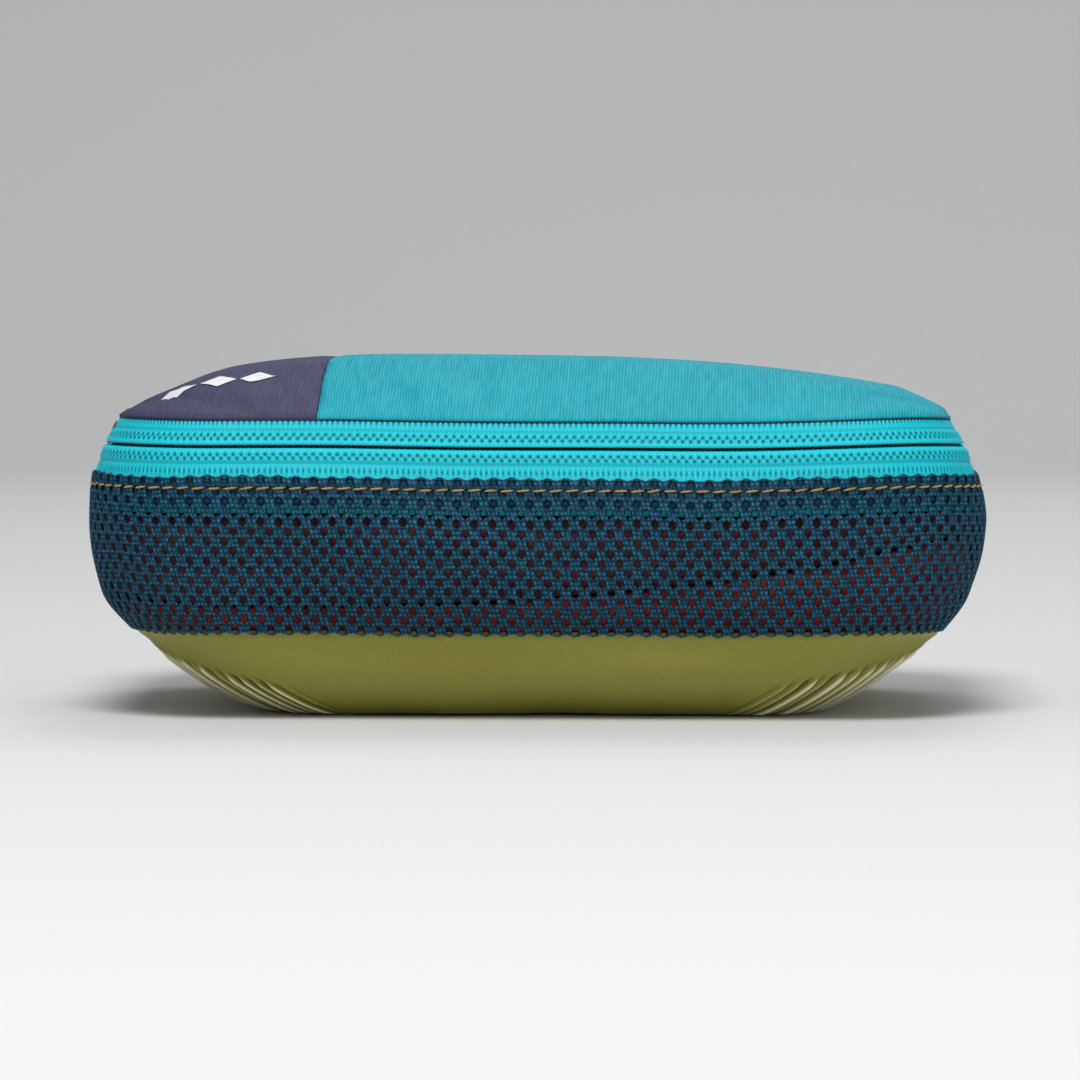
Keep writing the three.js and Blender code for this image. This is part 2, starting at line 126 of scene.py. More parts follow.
def smooth(edge0, edge1, value):
    """0 where value is at edge0, 1 where it is at edge1, and an easy curve between."""
    share = np.clip((value - edge0) / (edge1 - edge0), 0, 1)
    return share * share * (3 - 2 * share)


def bump(value, middle, width):
    """A bell curve, 1 at the middle."""
    return np.exp(-(((value - middle) / width) ** 2))


# ---- The case's outline, as a walk round it ----

def build_walk():
    """The stretches of the outline from the middle of the back, by way of the left end, the
    front and the right end, to the middle of the back again."""
    half_x, half_y = HALF_WIDTH - CORNER_RADIUS, HALF_DEPTH - CORNER_RADIUS
    arc = CORNER_RADIUS * math.pi / 2
    quarter = math.pi / 2
    stretches = [
        (half_x, (0, 1), (-1, 1), quarter, quarter),
        (arc, (-1, 1), (-1, 1), quarter, 2 * quarter),
        (2 * half_y, (-1, 1), (-1, -1), 2 * quarter, 2 * quarter),
        (arc, (-1, -1), (-1, -1), 2 * quarter, 3 * quarter),
        (2 * half_x, (-1, -1), (1, -1), 3 * quarter, 3 * quarter),
        (arc, (1, -1), (1, -1), 3 * quarter, 4 * quarter),
        (2 * half_y, (1, -1), (1, 1), 4 * quarter, 4 * quarter),
        (arc, (1, 1), (1, 1), 4 * quarter, 5 * quarter),
        (half_x, (1, 1), (0, 1), 5 * quarter, 5 * quarter),
    ]
    ends = np.cumsum([0.0] + [s[0] for s in stretches])
    return stretches, ends


STRETCHES, ENDS = build_walk()
ROUND = ENDS[-1]
BACK_LEFT, BACK_RIGHT = ENDS[1], ENDS[8]
LEFT_MIDDLE = (ENDS[2] + ENDS[3]) / 2
RIGHT_MIDDLE = (ENDS[6] + ENDS[7]) / 2


def wall_inset(z):
    """How far the wall stands in from the fullest outline, as a smooth curve through the levels."""
    heights, insets = WALL_HEIGHTS, WALL_INSETS
    slopes = np.gradient(insets, heights)
    z = np.clip(z, heights[0], heights[-1])
    i = np.clip(np.searchsorted(heights, z) - 1, 0, len(heights) - 2)
    step = heights[i + 1] - heights[i]
    t = (z - heights[i]) / step
    start = (2 * t**3 - 3 * t**2 + 1) * insets[i] + (t**3 - 2 * t**2 + t) * step * slopes[i]
    end = (3 * t**2 - 2 * t**3) * insets[i + 1] + (t**3 - t**2) * step * slopes[i + 1]
    return start + end


def outline(z):
    """Half width, half depth and corner radius of the case at height z."""
    inset = wall_inset(z)
    share = np.clip(z / SEAM_Z, 0, 1) ** BOWL_POWER
    below = z < SEAM_Z

    def size(full, resting):
        return np.where(below, resting + (full - inset - resting) * share, full - inset)

    return (
        size(HALF_WIDTH, RESTING["half_width"]),
        size(HALF_DEPTH, RESTING["half_depth"]),
        size(CORNER_RADIUS, RESTING["radius"]),
    )


def place(d):
    """At each distance d round the case: the corner signs on X and Y and the facing angle."""
    d = np.mod(d, ROUND)
    i = np.clip(np.searchsorted(ENDS, d, side="right") - 1, 0, len(STRETCHES) - 1)
    table = np.array([[*s[1], *s[2], s[3], s[4]] for s in STRETCHES])
    t = (d - ENDS[i]) / (ENDS[i + 1] - ENDS[i])
    row = table[i]
    sign_x = row[..., 0] + (row[..., 2] - row[..., 0]) * t
    sign_y = row[..., 1] + (row[..., 3] - row[..., 1]) * t
    angle = row[..., 4] + (row[..., 5] - row[..., 4]) * t
    return sign_x, sign_y, angle


def away_from_back(d):
    """0 at the middle of the back, where the walk starts and ends, and 1 away from it."""
    d = np.mod(d, ROUND)
    return smooth(0, 70 * MM, np.minimum(d, ROUND - d))


def end_tuck(d, z):
    """The foot of each end slopes in under the load, the left end more than the right."""
    left = 1 - smooth(62 * MM, 112 * MM, np.abs(d - LEFT_MIDDLE))
    right = 1 - smooth(62 * MM, 112 * MM, np.abs(d - RIGHT_MIDDLE))
    return (LEFT_TUCK * left + RIGHT_TUCK * right) * (1 - smooth(12 * MM, 34 * MM, z))


def fullness(d, z):
    """How much the stuffed wall stands proud of, or falls short of, the plain outline."""
    d = np.mod(d, ROUND)
    sign_x, sign_y, _ = place(d)
    middle = (1 - np.abs(sign_x) ** 2) + (1 - np.abs(sign_y) ** 2)
    belly = smooth(SEAM_Z, 48 * MM, z) * (1 - smooth(54 * MM, ZIP_Z, z))
    lumps = field(d, z * 1.4, 11, 55 * MM, 150 * MM) * LUMPS
    small = field(d, z, 12, 16 * MM, 34 * MM) * SMALL_LUMPS
    lumpy = (lumps + small) * away_from_back(d)
    return (middle * BELLY + lumpy) * belly - end_tuck(d, z)


def sag(d):
    """The zip band and the seams waver a little up and down on their way round."""
    d = np.mod(d, ROUND)
    calm = away_from_back(d) * (1 - bump(d, LEFT_MIDDLE, 60 * MM))
    return field(d, 0 * d, 13, 70 * MM, 190 * MM) * WAVER * calm


def wall(d, z, setback=0.0):
    """Points of the stuffed wall at distance d round it and height z, moved in by setback."""
    d, z, setback = np.broadcast_arrays(*(np.asarray(v, float) for v in (d, z, setback)))
    half_width, half_depth, radius = outline(z)
    sign_x, sign_y, angle = place(d)
    reach = radius - setback + fullness(d, z)
    lift = sag(d) * smooth(10 * MM, 40 * MM, z) * (1 - smooth(82 * MM, 90 * MM, z))
    return np.stack([
        sign_x * (half_width - radius) + reach * np.cos(angle),
        sign_y * (half_depth - radius) + reach * np.sin(angle),
        z + lift,
    ], axis=-1)


# ---- Meshes ----

def add_object(name, data):
    obj = bpy.data.objects.new(name, data)
    bpy.context.scene.collection.objects.link(obj)
    return obj


@contextmanager
def editing(mesh):
    """A mesh opened for editing, and written back afterwards."""
    work = bmesh.new()
    work.from_mesh(mesh)
    yield work
    work.to_mesh(mesh)
    work.free()


def new_mesh(name, points, faces, cloth=None):
    """A mesh object. cloth is (along, up) in metres at each point, and may have the relief there
    as its third number, from -1 in a hollow to 1 on a ridge, from which materials paint shade in
    the hollows and highlights on the ridges."""
    mesh = bpy.data.meshes.new(name)
    mesh.from_pydata(np.asarray(points, float).reshape(-1, 3).tolist(), [], faces)
    mesh.validate()
    if cloth is not None:
        count = len(mesh.vertices)
        cloth = np.asarray(cloth, float).reshape(count, -1)
        flat = np.zeros((count, 3), np.float32)
        flat[:, :cloth.shape[1]] = cloth
        layer = mesh.attributes.new("cloth", "FLOAT_VECTOR", "POINT")
        layer.data.foreach_set("vector", flat.ravel())
    mesh.shade_smooth()
    return add_object(name, mesh)


def grid_faces(rows, columns, wrap=False, start=0):
    """Quads over a grid of points kept row by row. wrap joins the last column to the first."""
    i, j = np.meshgrid(np.arange(rows - 1), np.arange(columns - (not wrap)), indexing="ij")
    right = (j + 1) % columns
    quads = np.stack([
        i * columns + j,
        i * columns + right,
        (i + 1) * columns + right,
        (i + 1) * columns + j,
    ], axis=-1) + start
    return quads.reshape(-1, 4).tolist()


def capped(faces, rows, columns, start=0):
    """Closes the two ends of a grid that is wrapped into a tube."""
    last = start + (rows - 1) * columns
    faces.append(list(range(start, start + columns))[::-1])
    faces.append(list(range(last, last + columns)))
    return faces


def on_cloth(*parts):
    """The cloth attribute's parts, spread over one grid."""
    return np.stack(np.broadcast_arrays(*parts), axis=-1)


def sleeve(name, outside, inside, cloth=None):
    """Flat cloth with two faces, from a grid of points outside and one inside that runs back."""
    points = np.concatenate([outside, inside], axis=1)
    faces = grid_faces(*points.shape[:2], wrap=True)
    return face_outwards(new_mesh(name, points, faces, cloth))


def modifier(obj, kind, **values):
    made = obj.modifiers.new(kind.title(), kind)
    for key, value in values.items():
        setattr(made, key, value)
    return made


def apply_modifiers(obj):
    shown = obj.evaluated_get(bpy.context.evaluated_depsgraph_get())
    mesh = bpy.data.meshes.new_from_object(shown)
    obj.modifiers.clear()
    obj.data = mesh
    return obj


def face_outwards(obj):
    with editing(obj.data) as work:
        bmesh.ops.recalc_face_normals(work, faces=work.faces)
    return obj


def face_up(panel, up):
    """Turns an open panel's faces so that most of them look up, or else down."""
    lean = sum(p.normal.z * p.area for p in panel.data.polygons)
    if (lean > 0) != up:
        panel.data.flip_normals()


def tube(paths, radius, sides=6):
    """Points and faces of round tubes that follow each of the paths, an array of points."""
    points, faces = [], []
    for path in paths:
        path = np.asarray(path, float)
        ahead = np.roll(path, -1, 0) - np.roll(path, 1, 0)
        ahead[0], ahead[-1] = path[1] - path[0], path[-1] - path[-2]
        ahead /= np.linalg.norm(ahead, axis=1, keepdims=True)
        guide = np.where(np.abs(ahead[:, 2:3]) > 0.9, [[1.0, 0, 0]], [[0, 0, 1.0]])
        side = np.cross(ahead, guide)
        side /= np.linalg.norm(side, axis=1, keepdims=True)
        up = np.cross(side, ahead)
        turn = np.arange(sides) * 2 * np.pi / sides
        rims = np.asarray(radius, float).reshape(-1, 1, 1) * (
            side[:, None] * np.cos(turn)[None, :, None] + up[:, None] * np.sin(turn)[None, :, None])
        start = sum(len(p) for p in points)
        points.append((path[:, None] + rims).reshape(-1, 3))
        faces += capped(grid_faces(len(path), sides, wrap=True, start=start), len(path), sides, start)
    return np.concatenate(points), faces


# ---- Materials ----

class Shader:
    """A material's node tree, with short ways to add what cloth needs."""

    def __init__(self, name, roughness, sheen=0.0, metallic=0.0, specular=0.3):
        self.material = bpy.data.materials.new(name)
        self.material.use_nodes = True
        self.tree = self.material.node_tree
        self.surface = self.tree.nodes["Principled BSDF"]
        uniform = {
            "Roughness": roughness,
            "Metallic": metallic,
            "Specular IOR Level": specular,
            "Sheen Weight": sheen,
            "Sheen Roughness": 0.4,
        }
        for socket, value in uniform.items():
            self.set(self.surface, socket, value)

    def set(self, node, socket, value):
        if isinstance(value, bpy.types.NodeSocket):
            self.tree.links.new(value, node.inputs[socket])
        else:
            node.inputs[socket].default_value = value

    def add(self, kind, output=0, settings=None, **sockets):
        node = self.tree.nodes.new("ShaderNode" + kind)
        for key, value in (settings or {}).items():
            setattr(node, key, value)
        for socket, value in sockets.items():
            self.set(node, int(socket[1:]) if socket[1:].isdigit() else socket, value)
        return node.outputs[output]

    def math(self, operation, a, b=0.0, c=0.0):
        return self.add("Math", settings={"operation": operation}, _0=a, _1=b, _2=c)

    def cloth(self):
        """Metres along and up the cloth, kept on the mesh."""
        return self.add("Attribute", "Vector", {"attribute_name": "cloth"})

    def object_place(self):
        return self.add("TexCoord", "Object")

    def scaled(self, vector, x, y, z):
        settings = {"operation": "MULTIPLY"}
        return self.add("VectorMath", settings=settings, _0=vector, _1=(x, y, z))

    def split(self, vector):
        node = self.tree.nodes.new("ShaderNodeSeparateXYZ")
        self.set(node, 0, vector)
        return node.outputs[0], node.outputs[1], node.outputs[2]

    def noise(self, vector, scale, detail=3.0, rough=0.55):
        return self.add("TexNoise", Vector=vector, Scale=scale, Detail=detail, Roughness=rough)

    def wave(self, coordinate, pitch):
        """A sine from 0 to 1 with the given pitch in metres."""
        turn = self.math("MULTIPLY", coordinate, 2 * math.pi / pitch)
        return self.math("MULTIPLY_ADD", self.math("SINE", turn), 0.5, 0.5)

    def ramp(self, value, low, high, from_low=0.0, from_high=1.0):
        node = self.tree.nodes.new("ShaderNodeMapRange")
        for socket, number in enumerate((value, from_low, from_high, low, high)):
            self.set(node, socket, number)
        return node.outputs[0]

    def blend(self, share, first, second):
        """A share of the second colour in the first, by the colour sockets of a mix node."""
        node = self.tree.nodes.new("ShaderNodeMix")
        node.data_type = "RGBA"
        self.set(node, 0, share)
        self.set(node, 6, first if hasattr(first, "node") else (*first, 1))
        self.set(node, 7, second if hasattr(second, "node") else (*second, 1))
        return node.outputs[2]

    def tones(self, share, colour, low, high):
        """One colour from a darker to a lighter tone of it."""
        return self.blend(share, shade(colour, low), shade(colour, high))

    def colour(self, value):
        self.set(self.surface, "Base Color", value)

    def roughness(self, value):
        self.set(self.surface, "Roughness", value)

    def relief(self, height, depth, strength=1.0):
        """Bump from a height of 0 to 1 that stands for depth metres."""
        node = self.tree.nodes.new("ShaderNodeBump")
        self.set(node, "Height", height)
        self.set(node, "Distance", depth)
        self.set(node, "Strength", strength)
        previous = self.surface.inputs["Normal"]
        if previous.is_linked:
            self.set(node, "Normal", previous.links[0].from_socket)
        self.set(self.surface, "Normal", node.outputs[0])


def shade(colour, factor):
    return tuple(min(1.0, c * factor) for c in colour)


def ribbed_cloth(name, colour, worn, pitch):
    """Plain-woven polyester with fine ribs that run from front to back."""
    s = Shader(name, 0.7, specular=0.16)
    where = s.object_place()
    x, y, z = s.split(where)
    wander = s.noise(s.scaled(where, 1, 0.08, 0.08), 260, 2)
    shifted = s.math("MULTIPLY_ADD", wander, pitch * 0.9, x)
    ribs = s.wave(shifted, pitch)
    picks = s.wave(s.math("ADD", y, z), pitch * 0.55)
    weave = s.math("MULTIPLY_ADD", picks, 0.25, s.math("MULTIPLY", ribs, 0.75))
    slubs = s.noise(s.scaled(where, 1, 0.05, 0.3), 900, 2)
    patches = s.noise(where, 24, 4)
    threads = s.math("MULTIPLY_ADD", slubs, 0.55, s.math("MULTIPLY", weave, 0.45))
    base = s.tones(s.ramp(threads, 0, 1, 0.25, 0.8), colour, 0.68, 1.25)
    s.colour(s.blend(s.ramp(patches, 0, 0.3, 0.5, 0.8), base, worn))
    s.roughness(s.ramp(threads, 0.82, 0.6))
    s.relief(weave, 0.10 * MM, 0.7)
    s.relief(s.noise(where, 90, 3), 0.5 * MM, 0.25)
    return s.material


def smooth_nylon(name, colour, worn):
    """Thin, tightly woven nylon with a soft shine, with a painted cream highlight on its fold
    ridges and painted shade in the hollows between them.
    """
    s = Shader(name, 0.46, specular=0.4)
    where = s.object_place()
    _, _, relief = s.split(s.cloth())
    tone = s.noise(where, 26, 4)
    threads = s.noise(s.scaled(where, 1, 1, 0.15), 1400, 2)
    base = s.tones(s.ramp(threads, 0, 1, 0.3, 0.7), colour, 0.9, 1.08)
    base = s.blend(s.ramp(tone, 0, 0.45, 0.42, 0.75), base, worn)
    # Painted shade: the pleats' hollows are darkened towards a tenth of the colour.
    base = s.blend(s.ramp(relief, 0.95, 0, -1, 0.15), base, shade(colour, 0.1))
    # Painted highlight: the pleats' ridges are lightened towards cream.
    s.colour(s.blend(s.ramp(relief, 0, 1, 0.3, 0.8), base, (0.86, 0.82, 0.58)))
    s.roughness(s.ramp(tone, 0.4, 0.56))
    s.relief(threads, 0.05 * MM, 0.4)
    creases = s.noise(s.scaled(where, 1, 1, 0.4), 55, 4, 0.6)
    s.relief(creases, 1.6 * MM, 0.4)
    return s.material


def knitted_net(name, colour, light):
    """Net yarn: fine loops along the strands in a mottled knit pattern that is partly a painted
    highlight, and painted shade where the net sinks back: round the holes, on its back and in
    the groove under the top stitching.
    """
    s = Shader(name, 0.62, specular=0.16)
    along, up, relief = s.split(s.cloth())
    bars = s.wave(s.math("MULTIPLY_ADD", up, 0.25, along), HOLE_PITCH / 4)
    rows = s.wave(up, HOLE_ROW / 2)
    mottled = s.noise(s.scaled(s.cloth(), 0.7, 1.6, 0), 700, 3, 0.7)
    loops = s.math("MULTIPLY", bars, rows)
    knit = s.math("MULTIPLY_ADD", loops, 0.3, s.math("MULTIPLY", mottled, 0.8))
    # Partly painted highlight: the mottled knit pattern runs from a darker tone up to the highlight
    # colour.
    base = s.blend(s.ramp(knit, 0, 1, 0.42, 0.8), shade(colour, 0.7), light)
    # Painted shade: darker where the net sinks back, round each hole, on its back and turned edge,
    # and in the groove under the top stitching.
    base = s.blend(s.ramp(relief, 0.7, 0, -0.2, 0.8), base, shade(colour, 0.3))
    broad = s.noise(s.cloth(), 26, 3)
    s.colour(s.blend(s.ramp(broad, 0, 0.4, 0.45, 0.75), base, shade(colour, 0.9)))
    s.relief(knit, 0.3 * MM, 0.9)
    return s.material


def woven_tape(name, colour, worn, rib=0.55 * MM):
    """Zip tape or edge tape: close ribs across the tape with a herringbone turn, painted shade in the
    hollows where its stitches pull in, and a painted highlight on the raised chain and stitches."""
    s = Shader(name, 0.55, specular=0.2)
    along, up, relief = s.split(s.cloth())
    zigzag = s.math("ABSOLUTE", s.math("SUBTRACT", s.wave(up, 2.4 * MM), 0.5))
    leaning = s.math("MULTIPLY_ADD", zigzag, 0.9 * MM, along)
    ribs = s.wave(leaning, rib * 2)
    picks = s.wave(up, rib * 0.7)
    weave = s.math("MULTIPLY_ADD", picks, 0.3, s.math("MULTIPLY", ribs, 0.7))
    tone = s.noise(s.cloth(), 70, 4)
    base = s.tones(weave, colour, 0.84, 1.1)
    base = s.blend(s.ramp(tone, 0, 0.4, 0.45, 0.8), base, worn)
    # Painted shade: the dimples and the groove beside the chain are darkened towards a tenth of the
    # colour.
    base = s.blend(s.ramp(relief, 0.88, 0, -1, 0), base, shade(colour, 0.1))
    # Painted highlight: the raised chain and the seam stitches are lightened towards the worn colour.
    s.colour(s.blend(s.ramp(relief, 0, 0.5), base, worn))
    s.roughness(s.ramp(weave, 0.6, 0.46))
    s.relief(weave, 0.12 * MM, 0.7)
    return s.material


def knitted_cloth(name, colour, worn, pitch):
    """Jersey or knitwear for the folded clothes."""
    s = Shader(name, 0.85, sheen=0.1, specular=0.15)
    where = s.object_place()
    x, y, z = s.split(where)
    wales = s.wave(s.math("ADD", x, s.math("MULTIPLY", z, 0.2)), pitch)
    courses = s.wave(s.math("ADD", y, z), pitch * 0.8)
    knit = s.math("MULTIPLY_ADD", wales, 0.6, s.math("MULTIPLY", courses, 0.4))
    tone = s.noise(where, 34, 5)
    base = s.tones(knit, colour, 0.7, 1.2)
    s.colour(s.blend(s.ramp(tone, 0, 0.6, 0.4, 0.75), base, worn))
    s.relief(knit, 0.2 * MM, 0.6)
    s.relief(s.noise(where, 120, 4), 0.8 * MM, 0.35)
    return s.material


def monofilament(name, colour):
    s = Shader(name, 0.32, specular=0.5)
    tone = s.noise(s.object_place(), 400, 2)
    s.colour(s.tones(tone, colour, 0.75, 1.15))
    s.roughness(s.ramp(tone, 0.26, 0.42))
    return s.material


def sewing_thread(name, colour, pale):
    """Twisted thread: short slanting strands along each stitch."""
    s = Shader(name, 0.5, sheen=0.05, specular=0.4)
    x, y, z = s.split(s.object_place())
    turn = s.math("ADD", s.math("ADD", x, y), s.math("MULTIPLY", z, 1.6))
    twist = s.wave(turn, 0.34 * MM)
    tone = s.noise(s.object_place(), 160, 3)
    base = s.blend(twist, shade(colour, 0.6), pale)
    s.colour(s.blend(s.ramp(tone, 0, 0.5, 0.4, 0.8), base, shade(colour, 0.8)))
    s.relief(twist, 0.08 * MM, 0.8)
    return s.material


def plated_metal(name, colour, bare):
    """Dark plated zinc, worn bright along its edges and finely scuffed."""
    s = Shader(name, 0.34, metallic=1.0, specular=0.5)
    where = s.object_place()
    edges = s.add("NewGeometry", "Pointiness")
    scuffs = s.noise(s.scaled(where, 1, 0.15, 1), 2600, 3)
    blotches = s.noise(where, 500, 3)
    worn = s.math("MULTIPLY", s.ramp(edges, 0, 1, 0.5, 0.62), s.ramp(blotches, 0.2, 1, 0.35, 0.6))
    s.colour(s.blend(worn, colour, bare))
    s.roughness(s.ramp(scuffs, 0.24, 0.5, 0.3, 0.75))
    s.relief(scuffs, 0.03 * MM, 0.4)
    return s.material


def moulded_rubber(name, colour):
    s = Shader(name, 0.6, specular=0.35)
    where = s.object_place()
    grain = s.noise(where, 3200, 2)
    dust = s.noise(where, 240, 4)
    s.colour(s.blend(s.ramp(dust, 0, 0.4, 0.45, 0.8), colour, shade(colour, 2.2)))
    s.roughness(s.ramp(dust, 0.5, 0.72))
    s.relief(grain, 0.05 * MM, 0.5)
    return s.material


TEAL, TEAL_WORN = (0.006, 0.30, 0.37), (0.02, 0.38, 0.45)
NAVY, NAVY_WORN = (0.044, 0.045, 0.094), (0.075, 0.078, 0.14)
# The tape's worn colour is also its painted highlight on the raised chain and stitches.
CYAN, CYAN_WORN_AND_HIGHLIGHT = (0.004, 0.48, 0.57), (0.02, 0.58, 0.66)
# The net's second colour is a painted highlight on its strands.
NET_BLUE, NET_HIGHLIGHT = (0.002, 0.038, 0.080), (0.03, 0.21, 0.31)
OLIVE, OLIVE_WORN = (0.285, 0.275, 0.036), (0.34, 0.34, 0.07)
GOLD, GOLD_PALE = (0.30, 0.17, 0.04), (0.62, 0.41, 0.14)
RUST, RUST_WORN = (0.36, 0.04, 0.03), (0.46, 0.10, 0.08)
PLUM, PLUM_WORN = (0.15, 0.038, 0.042), (0.21, 0.085, 0.075)
SLATE, SLATE_WORN = (0.075, 0.026, 0.030), (0.14, 0.075, 0.075)
CHARCOAL, CHARCOAL_WORN = (0.02, 0.02, 0.022), (0.04, 0.04, 0.045)
# Partly painted shade: the bindings' navy is made very dark so that the lid's seam cord also stands
# for the shadow line under the lid's rim.
BINDING_DARKENED_AS_SHADE, BINDING_WORN = (0.008, 0.02, 0.04), (0.02, 0.05, 0.08)

RECIPES = {
    "lid_fabric": (ribbed_cloth, TEAL, TEAL_WORN, 0.85 * MM),
    "patch_fabric": (ribbed_cloth, NAVY, NAVY_WORN, 0.8 * MM),
    "bottom_fabric": (smooth_nylon, OLIVE, OLIVE_WORN),
    "net": (knitted_net, NET_BLUE, NET_HIGHLIGHT),
    "zip_tape": (woven_tape, CYAN, CYAN_WORN_AND_HIGHLIGHT),
    # Painted shade: the coil is the tapes' cyan at half brightness, darkened for the shade it lies in
    # at the zip line.
    "zip_coil": (monofilament, shade(CYAN, 0.5)),
    "binding": (woven_tape, BINDING_DARKENED_AS_SHADE, BINDING_WORN, 0.4 * MM),
    "thread": (sewing_thread, GOLD, GOLD_PALE),
    "zip_metal": (plated_metal, (0.16, 0.17, 0.19), (0.62, 0.62, 0.62)),
    "pull_grip": (moulded_rubber, (0.035, 0.04, 0.075)),
    "rust_cloth": (knitted_cloth, RUST, RUST_WORN, 0.9 * MM),
    "plum_cloth": (knitted_cloth, PLUM, PLUM_WORN, 1.6 * MM),
    "slate_cloth": (knitted_cloth, SLATE, SLATE_WORN, 0.9 * MM),
    "charcoal_cloth": (knitted_cloth, CHARCOAL, CHARCOAL_WORN, 0.7 * MM),
}
MATERIALS = {name: make(name, *values) for name, (make, *values) in RECIPES.items()}


def finish_piece(obj, body, slot, *nodes):
    """Gives a piece its material and its body, and hides the CAD nodes that it stands for."""
    obj.data.materials.clear()
    obj.data.materials.append(MATERIALS[slot])
    if body:
        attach(obj, body)
    if nodes:
        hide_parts(*nodes)
    return obj


# ---- The net ----

END_DROP = 7 * MM


def seam_height(d):
    """The bottom seam dips at the two ends, where the load sags."""
    sign_x, sign_y, _ = place(d)
    at_ends = np.clip(np.abs(sign_x), 0, 1) >= 1
    return SEAM_Z - END_DROP * np.where(at_ends, smooth(0, 0.9, 1 - np.abs(sign_y)), 0)


def net_height(d, share):
    low = seam_height(d)
    return low + (NET_TOP_Z - low) * share


def net_cell(along, up):
    """One hole and the strands round it: rim, ridge and hole points, as (along, up, proud)."""
    tall, short = HOLE_ROW * 0.66, HOLE_ROW * 0.34
    half = HOLE_PITCH / 2
    corners = [(0, tall), (half, short), (half, -short), (0, -tall), (-half, -short), (-half, short)]
    rim = []
    for here, there in zip(corners, corners[1:] + corners[:1]):
        rim += [here, ((here[0] + there[0]) / 2, (here[1] + there[1]) / 2)]
    rim = np.array(rim)
    angle = np.arctan2(rim[:, 1] / HOLE_HALF_HEIGHT, rim[:, 0] / HOLE_HALF_WIDTH)
    hole = np.stack([HOLE_HALF_WIDTH * np.cos(angle), HOLE_HALF_HEIGHT * np.sin(angle)], axis=1)
    ridge = rim * 0.42 + hole * 0.58
    rings = [(rim, NET_VALLEY), (ridge, NET_RIDGE), (hole, 0.0), (rim, -NET_BACK)]
    return [(np.array([along, up]) + ring, proud) for ring, proud in rings]


def weld(points, tolerance):
    keys = np.round(points / tolerance).astype(np.int64)
    _, first, where = np.unique(keys, axis=0, return_index=True, return_inverse=True)
    return points[first], where.reshape(-1)


def net_lattice(length, height):
    """Every cell of a flat net, welded: points (along, up, proud) and quads."""
    columns = round(length / HOLE_PITCH)
    rows = round(height / HOLE_ROW)
    stretch_along = length / (columns * HOLE_PITCH)
    stretch_up = height / (rows * HOLE_ROW)
    points, faces = [], []
    for row in range(rows):
        shift = 0.5 * (row % 2)
        for column in range(columns - (row % 2)):
            start = len(points) * CELL_POINTS
            along, up = (column + 0.5 + shift) * HOLE_PITCH, (row + 0.5) * HOLE_ROW
            for ring, proud in net_cell(along, up):
                points.append(np.column_stack([ring, np.full(CELL_POINTS, proud)]))
            here = np.arange(CELL_POINTS)
            there = (here + 1) % CELL_POINTS
            for _ in range(3):
                quads = [here, there, there + CELL_POINTS, here + CELL_POINTS]
                faces.append(np.stack(quads, axis=1) + start)
                start += CELL_POINTS
    points, where = weld(np.concatenate(points), 0.02 * MM)
    points = points * [stretch_along, stretch_up, 1]
    return points, where[np.concatenate(faces)]


STITCH_Z = NET_TOP_Z - 3.1 * MM
STITCH_PITCH = 4.4 * MM
STITCH_PULL = 0.45 * MM


def stitch_pull(d, z):
    """How far the top stitching draws the net in, most of all where the needle went through."""
    beat = 0.5 + 0.5 * np.cos(2 * np.pi * (d - BACK_LEFT - 1.5 * MM) / STITCH_PITCH)
    return STITCH_PULL * bump(z, STITCH_Z, 0.75 * MM) * (0.35 + 0.65 * beat**4)


def make_net():
    start, end = BACK_LEFT + 0.5 * MM, BACK_RIGHT - 0.5 * MM
    height = NET_TOP_Z - SEAM_Z + 2 * MM
    flat, quads = net_lattice(end - start, height)
    along, up, proud = flat.T
    d = start + along + field(along, up, 21, 18 * MM, 60 * MM) * 0.22 * MM
    raised = up + field(along, up, 22, 18 * MM, 60 * MM) * 0.2 * MM
    z = net_height(d, np.clip(raised / height, -0.02, 1.02))
    held_in = stitch_pull(d, z)
    points = wall(d, z, held_in - proud)
    # This relief drives the net material's painted shade: darker round each hole and on the back,
    # darkest in the groove that the top stitching pulls in.
    relief = proud / NET_RIDGE - 2.5 * held_in / STITCH_PULL
    net = new_mesh("net", points, quads.tolist(), np.stack([along, up, relief], axis=1))
    finish_piece(face_outwards(net), "base", "net", "mesh_gusset")


def make_net_turned_edge():
    """The net's folded allowance, a second layer behind its top rows, with an uneven cut edge."""
    d = np.arange(BACK_LEFT + 1 * MM, BACK_RIGHT - 1 * MM, 1.5 * MM)
    profile = np.linspace(0, 1, 8)
    low = NET_TOP_Z - 7.9 * MM + field(d, 0 * d, 23, 8 * MM, 30 * MM) * 0.35 * MM
    heights = low[:, None] + (NET_TOP_Z - 0.4 * MM - low[:, None]) * profile
    outside = wall(d[:, None], heights, 0.38 * MM + stitch_pull(d[:, None], heights) * 0.5)
    inside = wall(d[:, None], heights[:, ::-1], 0.8 * MM)
    up = np.concatenate([heights, heights[:, ::-1]], axis=1)
    # A relief of -0.3 gives the turned edge the net material's full painted shade.
    edge = sleeve("net_turned_edge", outside, inside, on_cloth(d[:, None], up, -0.3))
    finish_piece(edge, "base", "net")


# ---- Bottom panel ----

PLEATS_PER_CORNER = 13
PLEAT_DEPTH = 3.2 * MM
REST_Z = 0.55 * MM
CORNER_MIDDLES = [(ENDS[i] + ENDS[i + 1]) / 2 for i in (1, 3, 5, 7)]
CORNER_SHARE = CORNER_RADIUS * math.pi / 4


